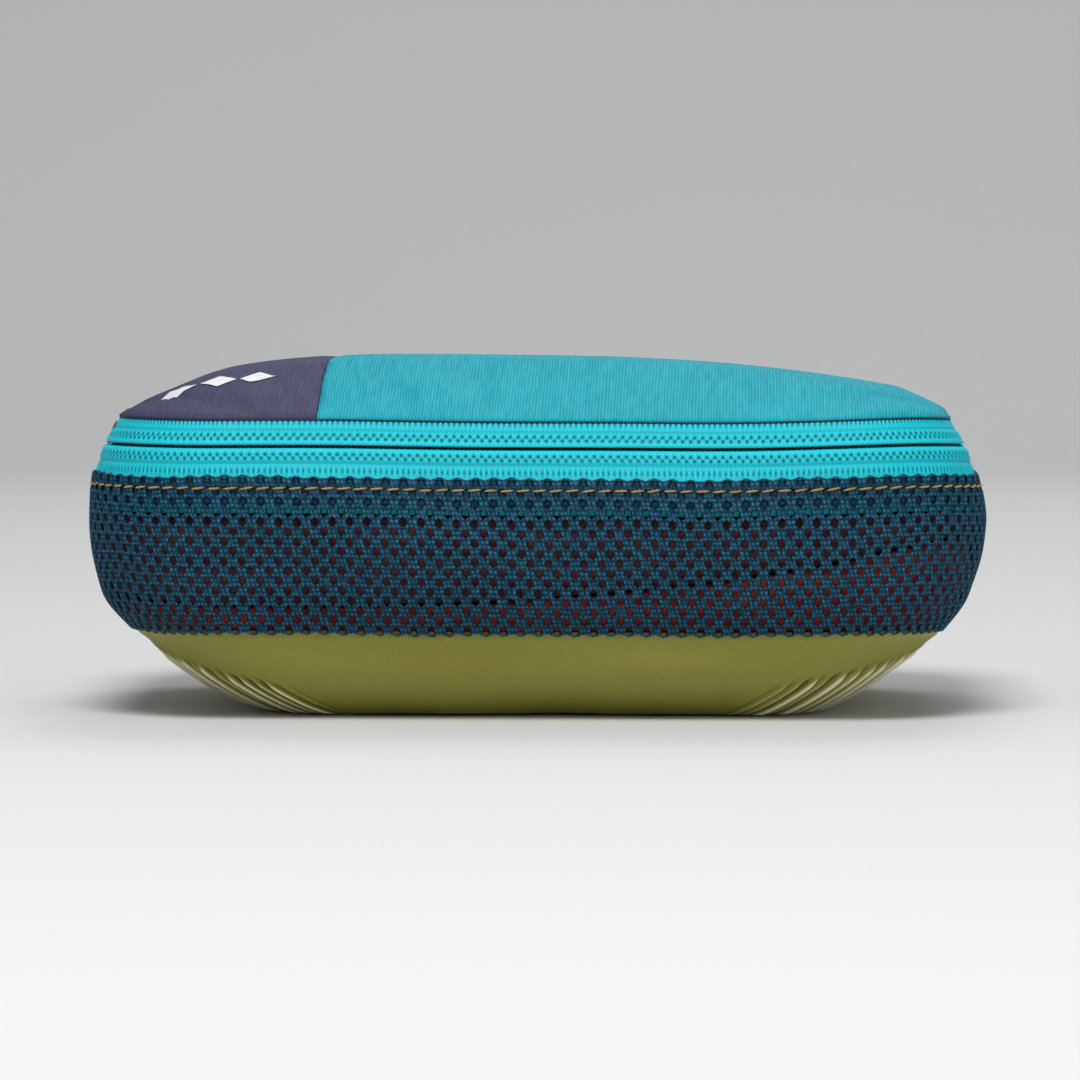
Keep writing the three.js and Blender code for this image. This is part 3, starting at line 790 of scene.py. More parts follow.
def pleats(d, share):
    """Gathers that fan down from each corner of the bottom seam, from -1 in a fold to 1 on a
    ridge. share is 0 at the seam and 1 at the edge of the resting face."""
    total = 0 * d * share
    for index, middle in enumerate(CORNER_MIDDLES):
        across = (d - middle) / CORNER_SHARE
        beat = across * PLEATS_PER_CORNER / 2 + 0.22 * np.sin(across * 5.1 + index * 2)
        saw = beat - np.floor(beat)
        ridge = np.where(saw < 0.68, saw / 0.68, (1 - saw) / 0.32)
        uneven = 0.75 + 0.35 * np.sin(np.floor(beat) * 2.7 + index * 1.3)
        toward_long_side = across * (1 if index % 2 else -1)
        starts = 0.30 + 0.22 * toward_long_side
        reach = smooth(starts, starts + 0.14, share) * (1 - smooth(0.75, 1.15, np.abs(across)))
        total = total + (2 * ridge**1.4 - 1) * uneven * reach
    return total


def corner_columns(fine, coarse):
    """Distances round the case, close together at the corners."""
    cuts = [0.0]
    while cuts[-1] < ROUND - coarse:
        near = min(abs(cuts[-1] - middle) for middle in CORNER_MIDDLES)
        cuts.append(cuts[-1] + (fine if near < CORNER_SHARE * 1.35 else coarse))
    return np.array(cuts)


def bottom_point(d, share):
    """The bottom panel from the seam, share 0, to the edge of its resting face, share 1."""
    tuck = 0.9 * MM * (1 - smooth(0, 0.06, share))
    points = wall(d, seam_height(d) * (1 - share), tuck + 0.5 * MM * smooth(0.2, 0.8, share))
    sign_x, sign_y, angle = place(d)
    drape = field(d, share * 25 * MM, 41, 40 * MM, 110 * MM) * 0.8 * MM * smooth(0.05, 0.4, share)
    off_corner = 1 - 0.8 * np.abs(sign_x) ** 4 * smooth(0.1, 0.8, np.abs(sign_y))
    bulge = 1.6 * MM * off_corner * smooth(0.1, 0.45, share) * (1 - smooth(0.5, 0.95, share))
    out = pleats(d, share) * PLEAT_DEPTH / 2 * (1 - smooth(0.86, 1.0, share) * 0.4) + drape + bulge
    points[..., 0] += np.cos(angle) * out * 0.7
    points[..., 1] += np.sin(angle) * out * 0.7
    points[..., 2] = np.maximum(points[..., 2] - out * 0.7, REST_Z)
    return points


def make_bottom_panel():
    d = corner_columns(0.42 * MM, 3 * MM)
    shares = np.concatenate([np.linspace(-0.03, 0.1, 6)[:-1], np.linspace(0.1, 1, 40)])
    bowl = bottom_point(d, shares[:, None])
    edge = bowl[-1]
    flats = [edge * [s, s, 0] + [0, 0, REST_Z] for s in (0.93, 0.8, 0.6, 0.4, 0.2, 0.05)]
    points = np.concatenate([bowl, np.array(flats)])
    rows, columns = points.shape[:2]
    faces = grid_faces(rows, columns, wrap=True)
    faces.append([(rows - 1) * columns + j for j in range(columns)][::-1])
    cloth = np.zeros((rows, columns, 3))
    # The pleats' ridges and folds, which the bottom fabric paints as highlight and shade.
    cloth[: len(shares), :, 2] = np.clip(1.5 * pleats(d, shares[:, None]), -1, 1)
    panel = face_outwards(new_mesh("bottom_panel_cloth", points, faces, cloth))
    face_up(panel, False)
    modifier(panel, "SOLIDIFY", thickness=0.5 * MM, offset=-1)
    apply_modifiers(panel)
    panel.data.shade_smooth()
    finish_piece(panel, "base", "bottom_fabric", "bottom_panel")


# ---- Zip tapes, coils and stitching ----

TOOTH_PITCH = 2.17 * MM
DIMPLE_ROWS = [(1.7 * MM, 0.0), (2.75 * MM, 0.5)]
CHAIN_HALF_WIDTH = 3.5 * MM
CHAIN_PROUD = 0.45 * MM
DIMPLE_DEPTH = 0.42 * MM
SEAM_ROW = 6.1 * MM
SEAM_STITCH_PITCH = 1.5 * MM
HINGE_STITCH_ROWS = (NET_TOP_Z - 0.4 * MM, LID_SEAM_Z - 1.6 * MM)


def tape_relief(d, from_line):
    """The woven tape stands proud over the coil, and each coil stitch pulls in a dimple.
    Gives the height in metres, and the painted light for the material: shade in the hollows and a
    highlight on the chain and stitches."""
    chain = 1 - smooth(CHAIN_HALF_WIDTH - 0.5 * MM, CHAIN_HALF_WIDTH + 0.4 * MM, from_line)
    edge = 1 - smooth(0, 0.7 * MM, from_line)
    dimples = 0
    for row, offset in DIMPLE_ROWS:
        beat = (0.5 + 0.5 * np.cos(2 * np.pi * (d / TOOTH_PITCH + offset))) ** 1.3
        dimples = dimples + beat * bump(from_line, row, 0.58 * MM)
    stitches = (0.5 + 0.5 * np.cos(2 * np.pi * d / SEAM_STITCH_PITCH)) ** 2
    seam = (2 * stitches - 1) * bump(from_line, SEAM_ROW, 0.85 * MM)
    groove = bump(from_line, CHAIN_HALF_WIDTH + 0.6 * MM, 0.35 * MM)
    height = CHAIN_PROUD * (chain - edge) - DIMPLE_DEPTH * dimples + (seam - groove) * 0.16 * MM
    # Painted light for the material: lighter on the raised chain and seam stitches, darker in the
    # dimples and the groove.
    look = chain * 0.35 - 1.7 * dimples + 0.9 * seam - 0.4 * groove
    return height, look


def make_tape(name, side, far_z):
    """One zip tape. side is 1 for the lid's tape and -1 for the base's."""
    near_z = ZIP_Z + side * ZIP_GAP / 2
    d = np.arange(BACK_LEFT + 0.3 * MM, BACK_RIGHT - 0.3 * MM, TOOTH_PITCH / 6)
    from_line = np.linspace(0, abs(far_z - near_z), 28)
    outside = near_z + side * from_line
    inside = outside[::-1][::4]
    # look is the painted shade and highlight that the zip tape's material draws.
    height, look = tape_relief(d[:, None], from_line)
    front = wall(d[:, None], outside, TAPE_SETBACK - height)
    back = wall(d[:, None], inside, TAPE_SETBACK + 0.9 * MM)
    up = np.concatenate([outside, inside])
    look = np.concatenate([look, np.zeros(back.shape[:2])], axis=1)
    return sleeve(name, front, back, on_cloth(d[:, None], up, look))


def coil_path(side):
    """A flattened helix whose loops' heads reach the zip line."""
    pitch = 1.45 * MM
    start, end = BACK_LEFT + 1.5 * MM, BACK_RIGHT - 1.5 * MM
    turns = round((end - start) / pitch)
    t = np.arange(turns * 12) / 12
    d = start + (t + (0.5 if side > 0 else 0)) * pitch
    from_line = 1.62 * MM + 1.5 * MM * np.cos(2 * np.pi * t)
    depth = COIL_SETBACK + 0.75 * MM + 0.62 * MM * np.sin(2 * np.pi * t)
    return wall(d, ZIP_Z + side * from_line, depth)


def make_coil(name, side, body, node):
    points, faces = tube([coil_path(side)], 0.3 * MM)
    return finish_piece(new_mesh(name, points, faces), body, "zip_coil", node)


def stitch_row(name, body, height, setback, start, end, pitch, length, width, tilt=0.0):
    """A row of thread stitches along the walk: each dips into the cloth at both ends."""
    dice = np.random.default_rng(51)
    paths = []
    for middle in np.arange(start + pitch / 2, end, pitch):
        t = np.linspace(-0.5, 0.5, 7)
        d = middle + t * length * dice.uniform(0.92, 1.06)
        lean = (tilt + dice.normal(0, 0.3)) * 0.2 * MM * 2 * t
        raised = (1 - (2 * t) ** 4) * width * 0.55 - width * 0.25
        paths.append(wall(d, height + lean + dice.normal(0, 0.05 * MM), setback - raised))
    points, faces = tube(paths, width / 2 * np.array([0.45, 0.85, 1, 1, 1, 0.85, 0.45]))
    finish_piece(new_mesh(name, points, faces), body, "thread")


def make_zip():
    lower = make_tape("zip_tape_lower_cloth", -1, NET_TOP_Z - 0.6 * MM)
    finish_piece(lower, "base", "zip_tape", "zip_tape_lower")
    upper = make_tape("zip_tape_upper_cloth", 1, LID_SEAM_Z - 0.2 * MM)
    finish_piece(upper, "lid", "zip_tape", "zip_tape_upper")
    make_coil("zip_coil_lower_spiral", -1, "base", "zip_coil_lower")
    make_coil("zip_coil_upper_spiral", 1, "lid", "zip_coil_upper")
    make_tape_allowance()


def make_tape_allowance():
    """The lower tape's hidden part, which runs down behind the net's top stitching."""
    heights = np.linspace(NET_TOP_Z - 9.9 * MM, NET_TOP_Z - 0.3 * MM, 8)
    d = np.arange(BACK_LEFT + 1 * MM, BACK_RIGHT - 1 * MM, 3 * MM)
    around = np.concatenate([heights, heights[::-1]])
    setback = np.repeat([1.35 * MM, 1.75 * MM], len(heights))
    points = wall(d[:, None], around, setback)
    steps = np.hypot(np.diff(around), np.diff(setback))
    girth = np.concatenate([[0], np.cumsum(steps)])
    faces = grid_faces(len(d), len(around), wrap=True)
    allowance = new_mesh("zip_tape_allowance", points, faces, on_cloth(d[:, None], girth))
    finish_piece(allowance, "base", "zip_tape")


def make_stitching():
    for row, body in zip(HINGE_STITCH_ROWS, ("base", "lid")):
        stitch_row(f"hinge_stitching_{body}", body, row, -0.25 * MM,
                   BACK_RIGHT + 5 * MM, ROUND + BACK_LEFT - 5 * MM, 3.2 * MM, 2.4 * MM, 0.6 * MM)
    left, right = BACK_LEFT + 1.5 * MM, BACK_RIGHT - 1.5 * MM
    stitch_row("net_top_stitching", "base", STITCH_Z, -0.2 * MM,
               left, right, STITCH_PITCH, 3.6 * MM, 0.66 * MM, tilt=1.0)


# ---- Lid ----

LID_COLUMNS, LID_ROWS = 112, 76
MARK_PLACE = (-98 * MM, -46 * MM)
MARK_PITCH = 11 * MM
MARK_SIZE = 10 * MM
LID_CAP = 3 * MM
LID_THICKNESS = 0.45 * MM
HEM_TURNS = [(0.45 * MM, -0.05 * MM), (0.55 * MM, 0.5 * MM), (0.1 * MM, 0.9 * MM)]
SLACK_SHARE = 0.22
SEAM_TAPE_WIDTH = 7 * MM
LID_CLOTH = {
    "quality": 6,
    "mass": 0.12,
    "tension_stiffness": 18,
    "compression_stiffness": 14,
    "shear_stiffness": 6,
    "bending_stiffness": 0.15,
    "vertex_group_mass": "seam",
    "use_pressure": True,
    "uniform_pressure_force": 4,
    "shrink_min": -0.02,
}
LID_CLOTH_FRAMES = 20


def lid_edge(side, t):
    """Distances along one side of the lid, for t from -1 to 1. The sides are numbered as the walk
    meets them: left end, front, right end and back."""
    corners = CORNER_MIDDLES + [CORNER_MIDDLES[0] + ROUND]
    low, high = corners[side], corners[side + 1]
    return low + (high - low) * (t + 1) / 2


def lid_walk(a, b):
    """The share of the way out and the distance round the edge for a square's point (a, b)."""
    out = np.maximum(np.maximum(np.abs(a), np.abs(b)), 1e-9)
    d = np.where(
        np.abs(b) >= np.abs(a),
        np.where(b > 0, lid_edge(3, -a / out), lid_edge(1, a / out)),
        np.where(a > 0, lid_edge(2, b / out), lid_edge(0, -b / out)),
    )
    return out, d


def lid_grid():
    a, b = np.meshgrid(np.linspace(-1, 1, LID_COLUMNS), np.linspace(-1, 1, LID_ROWS))
    share, d = lid_walk(a, b)
    edge = wall(d, LID_SEAM_Z, -0.35 * MM)
    x = edge[..., 0] * share
    power = DOME_POWER * (1 + DOME_FULL_LEFT * np.clip(-x / HALF_WIDTH, 0, 1))
    crown = (1 - np.abs(a) ** power) * (1 - np.abs(b) ** DOME_POWER)
    rise = DOME_HEIGHT * crown * (1 - DOME_LEAN * x / HALF_WIDTH)
    base = LID_SEAM_Z + (edge[..., 2] - LID_SEAM_Z) * share**2
    points = np.stack([x, edge[..., 1] * share, base + rise], axis=-1)
    return points, share, crown


def settle_lid(points, share, crown):
    """Cloth simulation: the lid's fabric, held at its seam, fills over the clothes under it."""
    start = points.copy()
    start[..., 2] -= SLACK_SHARE * DOME_HEIGHT * crown
    lid = new_mesh("lid_trial", start, grid_faces(LID_ROWS, LID_COLUMNS))
    seam = lid.vertex_groups.new(name="seam")
    seam.add([int(i) for i in np.flatnonzero(share.ravel() > 0.985)], 1.0, "REPLACE")
    cloth = modifier(lid, "CLOTH").settings
    for key, value in LID_CLOTH.items():
        setattr(cloth, key, value)
    cloth.effector_weights.gravity = 0
    scene = bpy.context.scene
    for step in range(1, LID_CLOTH_FRAMES + 1):
        scene.frame_set(step)
    shown = lid.evaluated_get(bpy.context.evaluated_depsgraph_get())
    moved = np.array([v.co for v in shown.data.vertices]).reshape(points.shape)
    scene.frame_set(1)
    bpy.data.objects.remove(lid)
    shift = moved - points
    far = np.linalg.norm(shift, axis=-1, keepdims=True)
    return points + shift * np.minimum(1, LID_CAP / np.maximum(far, 1e-9))


def lid_wrinkles(points, share):
    """Faint diagonal pulls that run in from the lid's corners."""
    x, y = points[..., 0], points[..., 1]
    pulls = 0
    for side_x in (-1, 1):
        for side_y in (-1, 1):
            toward = x * side_x / HALF_WIDTH + y * side_y / HALF_DEPTH
            across = x * side_x / HALF_WIDTH - y * side_y / HALF_DEPTH
            pulls = pulls + smooth(0.85, 1.5, toward) * np.sin(across * 10 + side_x + side_y * 2)
    calm = 1 - smooth(0.86, 1.0, share)
    creases = field(x, y * 1.3, 61, 50 * MM, 150 * MM) * 0.25 * MM
    points[..., 2] += (pulls * 0.22 * MM + creases) * calm
    return points


def make_lid():
    points, share, crown = lid_grid()
    points = settle_lid(points, share, crown)
    points = lid_wrinkles(points, share)
    x = points[..., 0]
    seam_dip = bump(x, PATCH_X, 1.1 * MM) * 0.7 * MM * smooth(1.0, 0.9, share)
    points[..., 2] -= seam_dip
    whole = new_mesh("lid_whole", points, grid_faces(LID_ROWS, LID_COLUMNS))
    make_patch_seam(whole)
    for name, side, slot, node in (("lid_main_cloth", 1, "lid_fabric", "lid_main_panel"),
                                   ("lid_patch_cloth", -1, "patch_fabric", "lid_end_patch")):
        panel = half_of(whole, name, PATCH_X + side * 0.12 * MM, side)
        hem(panel)
        finish_piece(panel, "lid", slot, node)
    bpy.data.objects.remove(whole)


def half_of(whole, name, x, side):
    """The part of the lid on one side of the plane at x."""
    half = add_object(name, whole.data.copy())
    with editing(half.data) as work:
        everything = work.verts[:] + work.edges[:] + work.faces[:]
        bmesh.ops.bisect_plane(work, geom=everything, plane_co=(x, 0, 0), plane_no=(side, 0, 0),
                               clear_inner=True, dist=1e-5)
    return half


def hem(panel):
    """Turns the cloth's edge down and under, then gives the cloth its thickness."""
    with editing(panel.data) as work:
        for drop, draw in HEM_TURNS:
            rim = [e for e in work.edges if e.is_boundary]
            made = bmesh.ops.extrude_edge_only(work, edges=rim)["geom"]
            for vert in (g for g in made if isinstance(g, bmesh.types.BMVert)):
                vert.co += hem_shift(vert.co, drop, draw)
        bmesh.ops.recalc_face_normals(work, faces=work.faces)
    face_up(panel, True)
    panel.data.shade_smooth()
    modifier(panel, "SOLIDIFY", thickness=LID_THICKNESS, offset=-1)
    apply_modifiers(panel)


def hem_shift(co, drop, draw):
    """A hem's edge goes down and inwards, but only a little sideways at the patch seam."""
    if abs(co.x - PATCH_X) < 1.2 * MM:
        inward = Vector((math.copysign(1, co.x - PATCH_X), 0, 0))
        return inward * draw * 0.3 - Vector((0, 0, drop))
    inward = Vector((-co.x, -co.y, 0))
    return inward.normalized() * draw - Vector((0, 0, drop))


# ---- Back panel and hinge ----

def back_distances(spacing):
    left = np.arange(BACK_RIGHT, ROUND, spacing)
    right = np.arange(ROUND, ROUND + BACK_LEFT + spacing / 2, spacing)
    return np.concatenate([left, right])


def make_back():
    d = back_distances(2.5 * MM)
    d[0], d[-1] = BACK_RIGHT + 0.4 * MM, ROUND + BACK_LEFT - 0.4 * MM
    shares = np.linspace(0, 1, 22)
    heights = net_height(d[:, None], shares)
    outside = wall(d[:, None], heights, 0)
    inside = wall(d[:, None], heights[:, ::-1], 0.6 * MM)
    panel = sleeve("back_panel_cloth", outside, inside)
    finish_piece(panel, "base", "patch_fabric", "back_panel")
    make_hinge()


def make_hinge():
    """One folded strip from the back panel to the lid, with a slack roll on the hinge line. Its
    ends lie over the ends of the zip tapes."""
    d = np.arange(BACK_RIGHT - 4 * MM, ROUND + BACK_LEFT + 4 * MM, 1.5 * MM)
    low, high = NET_TOP_Z - 2.2 * MM, LID_SEAM_Z + 0.2 * MM
    heights = np.linspace(low, high, 30)
    from_end = np.minimum(d - d[0], d[-1] - d)
    tucked = 1 - smooth(0, 4 * MM, from_end)
    proud = 0.35 * MM + 0.9 * MM * bump(heights, ZIP_Z, 2.4 * MM)
    proud = proud * (1 - tucked[:, None]) + 0.3 * MM * tucked[:, None]
    seams = 0.3 * MM * sum(bump(heights, z, 0.5 * MM) for z in HINGE_STITCH_ROWS)
    outside = wall(d[:, None], heights, seams - proud)
    inside = wall(d[:, None], heights[::-1], 0.5 * MM - proud[:, ::-1])
    up = np.concatenate([heights, heights[::-1]])
    hinge = sleeve("hinge_strip_cloth", outside, inside, on_cloth(d[:, None], up))
    finish_piece(hinge, None, "zip_tape", "hinge_strip_lower", "hinge_strip_upper")
    back_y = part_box("hinge_strip_upper")[1].y
    low, high = ((0, back_y, ZIP_Z + side * 3 * MM) for side in (-1, 1))
    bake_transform(hinge)


# ---- Folded clothes ----

GARMENT_SETBACK = 2.1 * MM
GARMENT_ROLL = 3.2 * MM
GARMENT_LAYER = 0.9 * MM
FOLD_LIMIT = 1.2 * MM
BOWL_CLEARANCE = 3.6 * MM
GARMENTS = [
    ("folded_trousers", "charcoal_cloth"),
    ("folded_shirt", "rust_cloth"),
    ("folded_sweater", "plum_cloth"),
    ("folded_tee", "slate_cloth"),
]


def rust_top(x):
    """The line between the rust shirt and the plum sweater climbs to the right."""
    along = x / HALF_WIDTH
    return (34 + 9 * along + 8 * along * along) * MM


def garment_limits(index):
    """The lowest and highest place of a garment, as functions of x."""
    flats = [2 * MM, 21 * MM, None, 57 * MM, 68.5 * MM]
    limits = [(lambda x, z=z: z + 0 * x) if z else rust_top for z in flats]
    return limits[index], limits[index + 1]


def make_garment(index, name, slot):
    low, high = garment_limits(index)
    d = np.linspace(0, ROUND, 420, endpoint=False)
    share = np.linspace(0, 1, 46)
    roll = np.sqrt(np.clip(1 - (2 * share - 1) ** 2, 0, 1))
    rough = wall(d, 40 * MM, GARMENT_SETBACK)
    floor_z, top_z = low(rough[:, 0]) + 0.4 * MM, high(rough[:, 0]) - 0.4 * MM
    z = floor_z + (top_z - floor_z) * share[:, None]
    layers = np.abs(np.sin(share * math.pi * 2.5))[:, None] ** 0.5 * GARMENT_LAYER
    folds = field(d * 0.6, z * 2.2, 71 + index, 14 * MM, 46 * MM) * MM
    rounded = GARMENT_ROLL * (1 - roll[:, None]) + GARMENT_LAYER
    setback = GARMENT_SETBACK + rounded - layers - np.minimum(folds, FOLD_LIMIT)
    in_bowl = BOWL_CLEARANCE * (1 - smooth(0.55 * SEAM_Z, 1.1 * SEAM_Z, z))
    sides = wall(d, z, np.maximum(setback, GARMENT_SETBACK * 0.9) + in_bowl)
    rings = 64 if name == "folded_tee" else 12
    caps_low = [garment_cap(sides[0], s, index, low, -1) for s in np.linspace(0.97, 0.03, 12)]
    caps_high = [garment_cap(sides[-1], s, index, high, 1) for s in np.linspace(0.98, 0.02, rings)]
    points = np.concatenate([np.array(caps_low[::-1]), sides, np.array(caps_high)])
    rows = len(points)
    faces = capped(grid_faces(rows, len(d), wrap=True), rows, len(d))
    garment = face_outwards(new_mesh(name + "_cloth", points, faces))
    finish_piece(garment, "base", slot, name)


def garment_cap(edge, share, index, limit, side):
    """One ring of a garment's under face, side -1, or of its upper face, side 1, which shows where
    its body and its sleeve are folded over."""
    ring = edge * [share, share, 1]
    x, y = ring[:, 0], ring[:, 1]
    creases = field(x, y, 81 + index, 30 * MM, 90 * MM) * 0.5 * MM
    creases = creases + field(x, y, 91 + index, 9 * MM, 26 * MM) * 0.22 * MM
    folded_over = y + 10 * MM + 0.12 * x + 2 * MM * np.sin(x / (26 * MM))
    if side > 0:
        body_fold = 2.6 * MM * smooth(-0.7 * MM, 0.7 * MM, folded_over)
        body_fold -= 1.3 * MM * bump(folded_over, -1.4 * MM, 1.5 * MM)
        sleeve_edge = x - 46 * MM + 0.3 * y
        sleeve_fold = 1.7 * MM * smooth(-0.7 * MM, 0.7 * MM, sleeve_edge)
        sleeve_fold -= 0.8 * MM * bump(sleeve_edge, -1.2 * MM, 1.3 * MM)
        creases = creases + (body_fold + sleeve_fold)
    ring[:, 2] = limit(x) - side * 0.7 * MM + creases * smooth(1.0, 0.86, share)
    return ring


# ---- Bindings and hardware, from the frame ----

def from_frame(node, name, slot, body, width, segments=3):
    """A copy of a CAD node with its edges rounded."""
    obj = add_object(name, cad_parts[node].data.copy())
    with editing(obj.data) as work:
        bmesh.ops.remove_doubles(work, verts=work.verts, dist=0.002 * MM)
        bmesh.ops.dissolve_limit(
            work, angle_limit=math.radians(2), verts=work.verts, edges=work.edges)
    modifier(obj, "BEVEL", width=width, segments=segments, limit_method="ANGLE",
             angle_limit=math.radians(35))
    apply_modifiers(obj)
    obj.data.shade_smooth()
    finish_piece(obj, body, slot, node)


def make_hardware():
    from_frame("slider_body", "slider_casting", "zip_metal", "slider", 0.28 * MM)
    from_frame("slider_bail", "slider_loop", "zip_metal", "slider", 0.3 * MM)
    from_frame("pull_link", "pull_link_wire", "zip_metal", "pull", 0.28 * MM)
    from_frame("pull_grip", "pull_grip_moulding", "pull_grip", "pull", 0.6 * MM, 4)
    make_grip_ribs()
    for end in ("left", "right"):
        node = f"zip_stop_{end}"
        from_frame(node, f"{node}_crimp", "zip_metal", "base", 0.3 * MM)


def make_grip_ribs():
    """Five small ribs across each face of the pull's grip."""
    corners = np.array([v.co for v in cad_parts["pull_grip"].data.vertices])
    _, axes = np.linalg.eigh(np.cov((corners - corners.mean(0)).T))
    local = corners @ axes
    thick, width, length = np.ptp(local, axis=0)
    middle = (local.max(0) + local.min(0)) / 2
    across = np.linspace(-0.34, 0.34, 9)
    paths = []
    for along in np.linspace(-0.26, 0.26, 5):
        for face in (-1, 1):
            rib = np.tile(middle + [face * (thick / 2 - 0.1 * MM), 0, along * length], (9, 1))
            rib[:, 1] += across * width
            paths.append(rib @ axes.T)
    points, faces = tube(paths, 0.42 * MM * np.array([0.5, 0.9, 1, 1, 1, 1, 1, 0.9, 0.5]), sides=8)
    finish_piece(new_mesh("pull_grip_ribs", points, faces), "pull", "pull_grip")


def piping_profile(middle, width, setback, proud):
    """A flat-backed bead: the height and the setback at each point round its section."""
    turn = np.linspace(0, 2 * np.pi, 16, endpoint=False)
    return middle + width / 2 * np.sin(turn), setback - proud * np.maximum(np.cos(turn), -0.6)


def make_bindings():
    d = np.arange(0, ROUND, 1.5 * MM)
    profile = piping_profile(0.4 * MM, 1.4 * MM, 2.0 * MM, 0.5 * MM)

    def follow_seam(d, height, setback):
        return wall(d, seam_height(d) + height, setback)

    seam = closed_band("bottom_seam_cord", d, profile, follow_seam)
    finish_piece(seam, "base", "binding", "bottom_seam_binding")
    # The lid's seam cord takes the very dark binding colour, partly painted shade: it also stands for
    # the shadow line under the lid's rim.
    lid_profile = piping_profile(LID_SEAM_Z - 0.6 * MM, 1.3 * MM, 0.7 * MM, 0.6 * MM)
    rim = closed_band("lid_seam_cord", d, lid_profile, wall)
    finish_piece(rim, "lid", "binding", "lid_seam_binding")
    make_corner_tape("left", BACK_LEFT)
    make_corner_tape("right", BACK_RIGHT)


def make_corner_tape(side, middle):
    """The upright tape over the seam between the net and the back panel."""
    heights = np.linspace(SEAM_Z + 0.5 * MM, NET_TOP_Z - 3.5 * MM, 40)
    turn = np.linspace(0, 2 * np.pi, 12, endpoint=False)
    across = middle + 1.7 * MM * np.cos(turn)
    points = wall(across, heights[:, None], 0.15 * MM - 0.55 * MM * np.sin(turn))
    faces = capped(grid_faces(40, 12, wrap=True), 40, 12)
    cloth = on_cloth(heights[:, None], across)
    tape = face_outwards(new_mesh(f"corner_seam_{side}_tape", points, faces, cloth))
    finish_piece(tape, "base", "binding", f"corner_seam_binding_{side}")


def closed_band(name, d, profile, point):
    """A band that goes all the way round the case."""
    heights, setbacks = profile
    points = point(d[:, None], heights, setbacks)
    n = len(heights)
    i, j = np.meshgrid(np.arange(len(d)), np.arange(n), indexing="ij")
    ahead, up = (i + 1) % len(d), (j + 1) % n
    quads = np.stack([i * n + j, ahead * n + j, ahead * n + up, i * n + up], axis=-1)
    cloth = on_cloth(d[:, None], heights)
    return face_outwards(new_mesh(name, points, quads.reshape(-1, 4).tolist(), cloth))


def surface_height(tree, x, y):
    """The height of a mesh's upper face above the point (x, y)."""
    return tree.ray_cast(Vector((x, y, 0.2)), Vector((0, 0, -1)))[0].z


def make_patch_seam(lid):
    """The tape that covers the seam between the lid's two fabrics, on the inside of the lid."""
    bpy.context.view_layer.update()
    tree = BVHTree.FromObject(lid, bpy.context.evaluated_depsgraph_get())
    y = np.linspace(-1, 1, 90) * (HALF_DEPTH - wall_inset(LID_SEAM_Z) - 2.5 * MM)
    x = PATCH_X + np.linspace(-1, 1, 9) * SEAM_TAPE_WIDTH / 2
    top = np.array([[(a, b, surface_height(tree, a, b) - 1.2 * MM) for a in x] for b in y])
    under = top[:, ::-1] - [0, 0, 0.5 * MM]
    points = np.concatenate([top, under], axis=1)
    cloth = on_cloth(points[..., 1], np.concatenate([x, x[::-1]]))
    faces = capped(grid_faces(len(y), 18, wrap=True), len(y), 18)
    tape = face_outwards(new_mesh("patch_seam_tape", points, faces, cloth))
    finish_piece(tape, "lid", "binding", "patch_seam_binding")


def make_patch_mark(patch):
    """A plain printed ornament of three lozenges."""
    patch_tree = BVHTree.FromObject(patch, bpy.context.evaluated_depsgraph_get())
    side = np.linspace(-1, 1, 11)
    points, faces = [], []
    for number in range(3):
        a, b = np.meshgrid(side, side, indexing="ij")
        x = MARK_PLACE[0] + number * MARK_PITCH + (a + b) * MARK_SIZE / 4
        y = MARK_PLACE[1] + (a - b) * MARK_SIZE / 4
        faces += grid_faces(11, 11, start=len(points))
        for px, py in zip(x.ravel(), y.ravel()):
            points.append((px, py, surface_height(patch_tree, px, py) + 0.3 * MM))
    mark = new_mesh("patch_mark", points, faces)
    mark.data.materials.append(printed_ink())
    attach(mark, "lid")


def printed_ink():
    s = Shader("printed_ink", 0.6, specular=0.3)
    cracks = s.noise(s.object_place(), 1500, 3)
    s.colour(s.blend(s.ramp(cracks, 0, 1, 0.4, 0.7), (0.55, 0.55, 0.58), (0.78, 0.78, 0.80)))
    s.relief(cracks, 0.05 * MM, 0.5)
    return s.material


# ---- The case ----

make_net()
make_net_turned_edge()
make_bottom_panel()
make_zip()
make_stitching()
make_lid()
make_patch_mark(bpy.data.objects["lid_patch_cloth"])
make_back()
for index, (name, slot) in enumerate(GARMENTS):
    make_garment(index, name, slot)
make_hardware()
make_bindings()


# ---- Stage ----

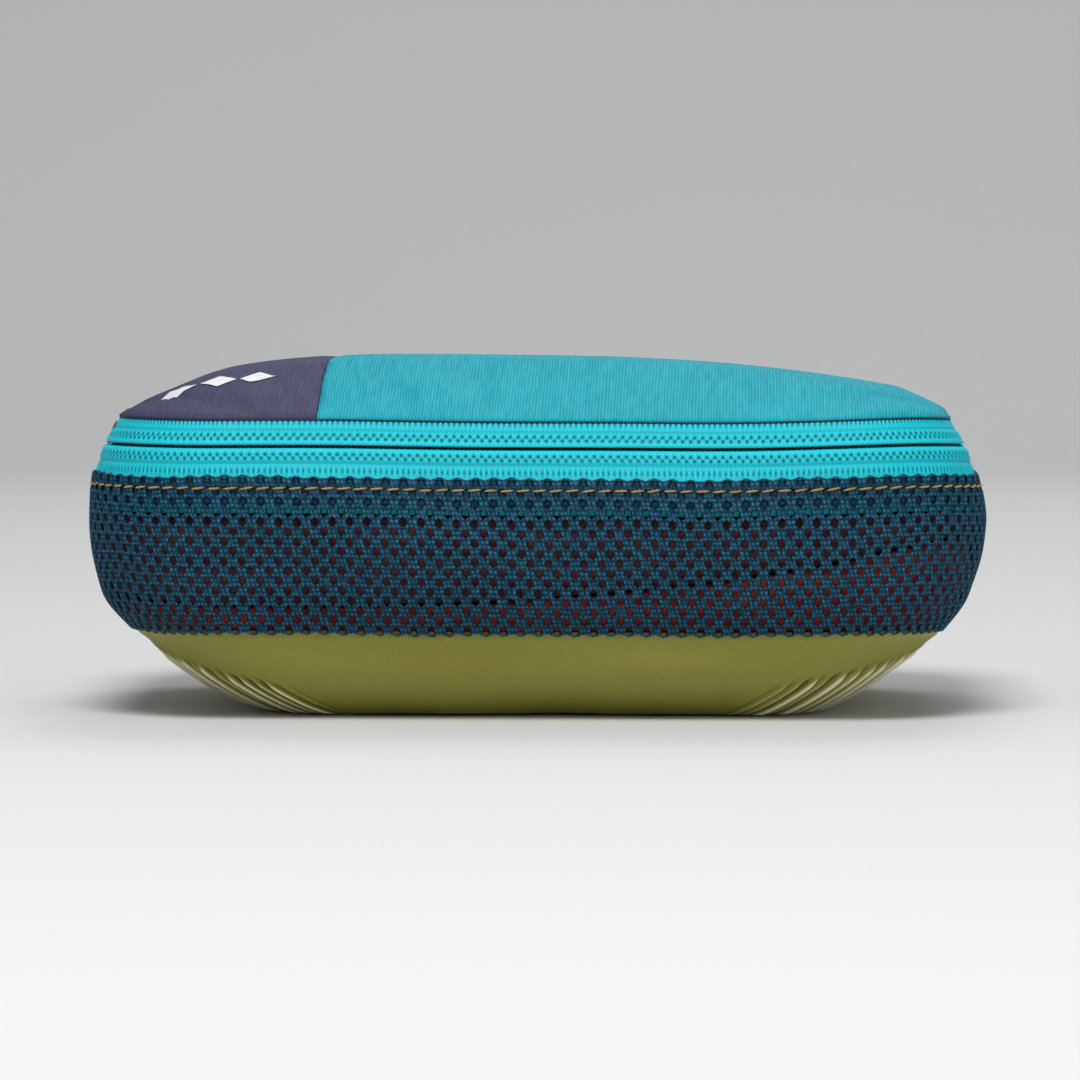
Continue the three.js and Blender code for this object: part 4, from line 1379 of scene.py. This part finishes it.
def make_floor():
    """A paper sweep, flat under the case and curved up behind it."""
    mesh = bpy.data.meshes.new("floor")
    front, back, curve, top, half_width = -3.0, 1.6, 0.7, 3.0, 4.0
    turns = np.linspace(0, math.pi / 2, 16)
    bend = [(back + curve * math.sin(t), curve - curve * math.cos(t)) for t in turns]
    sweep = [(front, 0.0), *bend, (back + curve, top)]
    points = [(x, y, z) for y, z in sweep for x in (-half_width, half_width)]
    faces = [(i, i + 1, i + 3, i + 2) for i in range(0, 2 * len(sweep) - 2, 2)]
    mesh.from_pydata(points, [], faces)
    mesh.shade_smooth()
    floor = add_object("floor", mesh)
    s = Shader("floor_paper", 0.85, specular=0.2)
    s.colour((0.60, 0.60, 0.59, 1))
    mesh.materials.append(s.material)


def make_light(name, place_at, size, power):
    lamp = bpy.data.lights.new(name, "AREA")
    lamp.shape = "DISK"
    lamp.size = size
    lamp.energy = power
    obj = add_object(name, lamp)
    obj.location = place_at
    towards_case = Vector((0, 0, 0.05)) - obj.location
    obj.rotation_euler = towards_case.to_track_quat("-Z", "Y").to_euler()


def make_camera(azimuth, elevation, distance, frame_width, aim):
    camera = add_object("camera", bpy.data.cameras.new("camera"))
    a, e = math.radians(azimuth), math.radians(elevation)
    away = Vector((math.sin(a) * math.cos(e), -math.cos(a) * math.cos(e), math.sin(e)))
    camera.location = Vector(aim) + away * distance
    camera.rotation_euler = (-away).to_track_quat("-Z", "Y").to_euler()
    camera.data.sensor_width = 36
    camera.data.lens = 36 * distance / frame_width
    camera.data.clip_end = 50
    bpy.context.scene.camera = camera


def make_world():
    world = bpy.data.worlds.new("studio")
    world.use_nodes = True
    background = world.node_tree.nodes["Background"]
    background.inputs["Color"].default_value = (0.93, 0.95, 1.0, 1)
    background.inputs["Strength"].default_value = 0.45
    bpy.context.scene.world = world
    bpy.context.scene.view_settings.view_transform = "Standard"


make_floor()
make_light("key", (-0.1, -1.1, 1.6), size=0.8, power=30)
make_light("fill", (1.2, -1.4, 0.6), size=1.2, power=5)
make_light("back", (0.2, 1.2, 1.5), size=1.0, power=10)
make_world()
make_camera(azimuth=2, elevation=3, distance=1.8, frame_width=0.305, aim=(0, 0, 0.046))

bpy.context.view_layer.update()
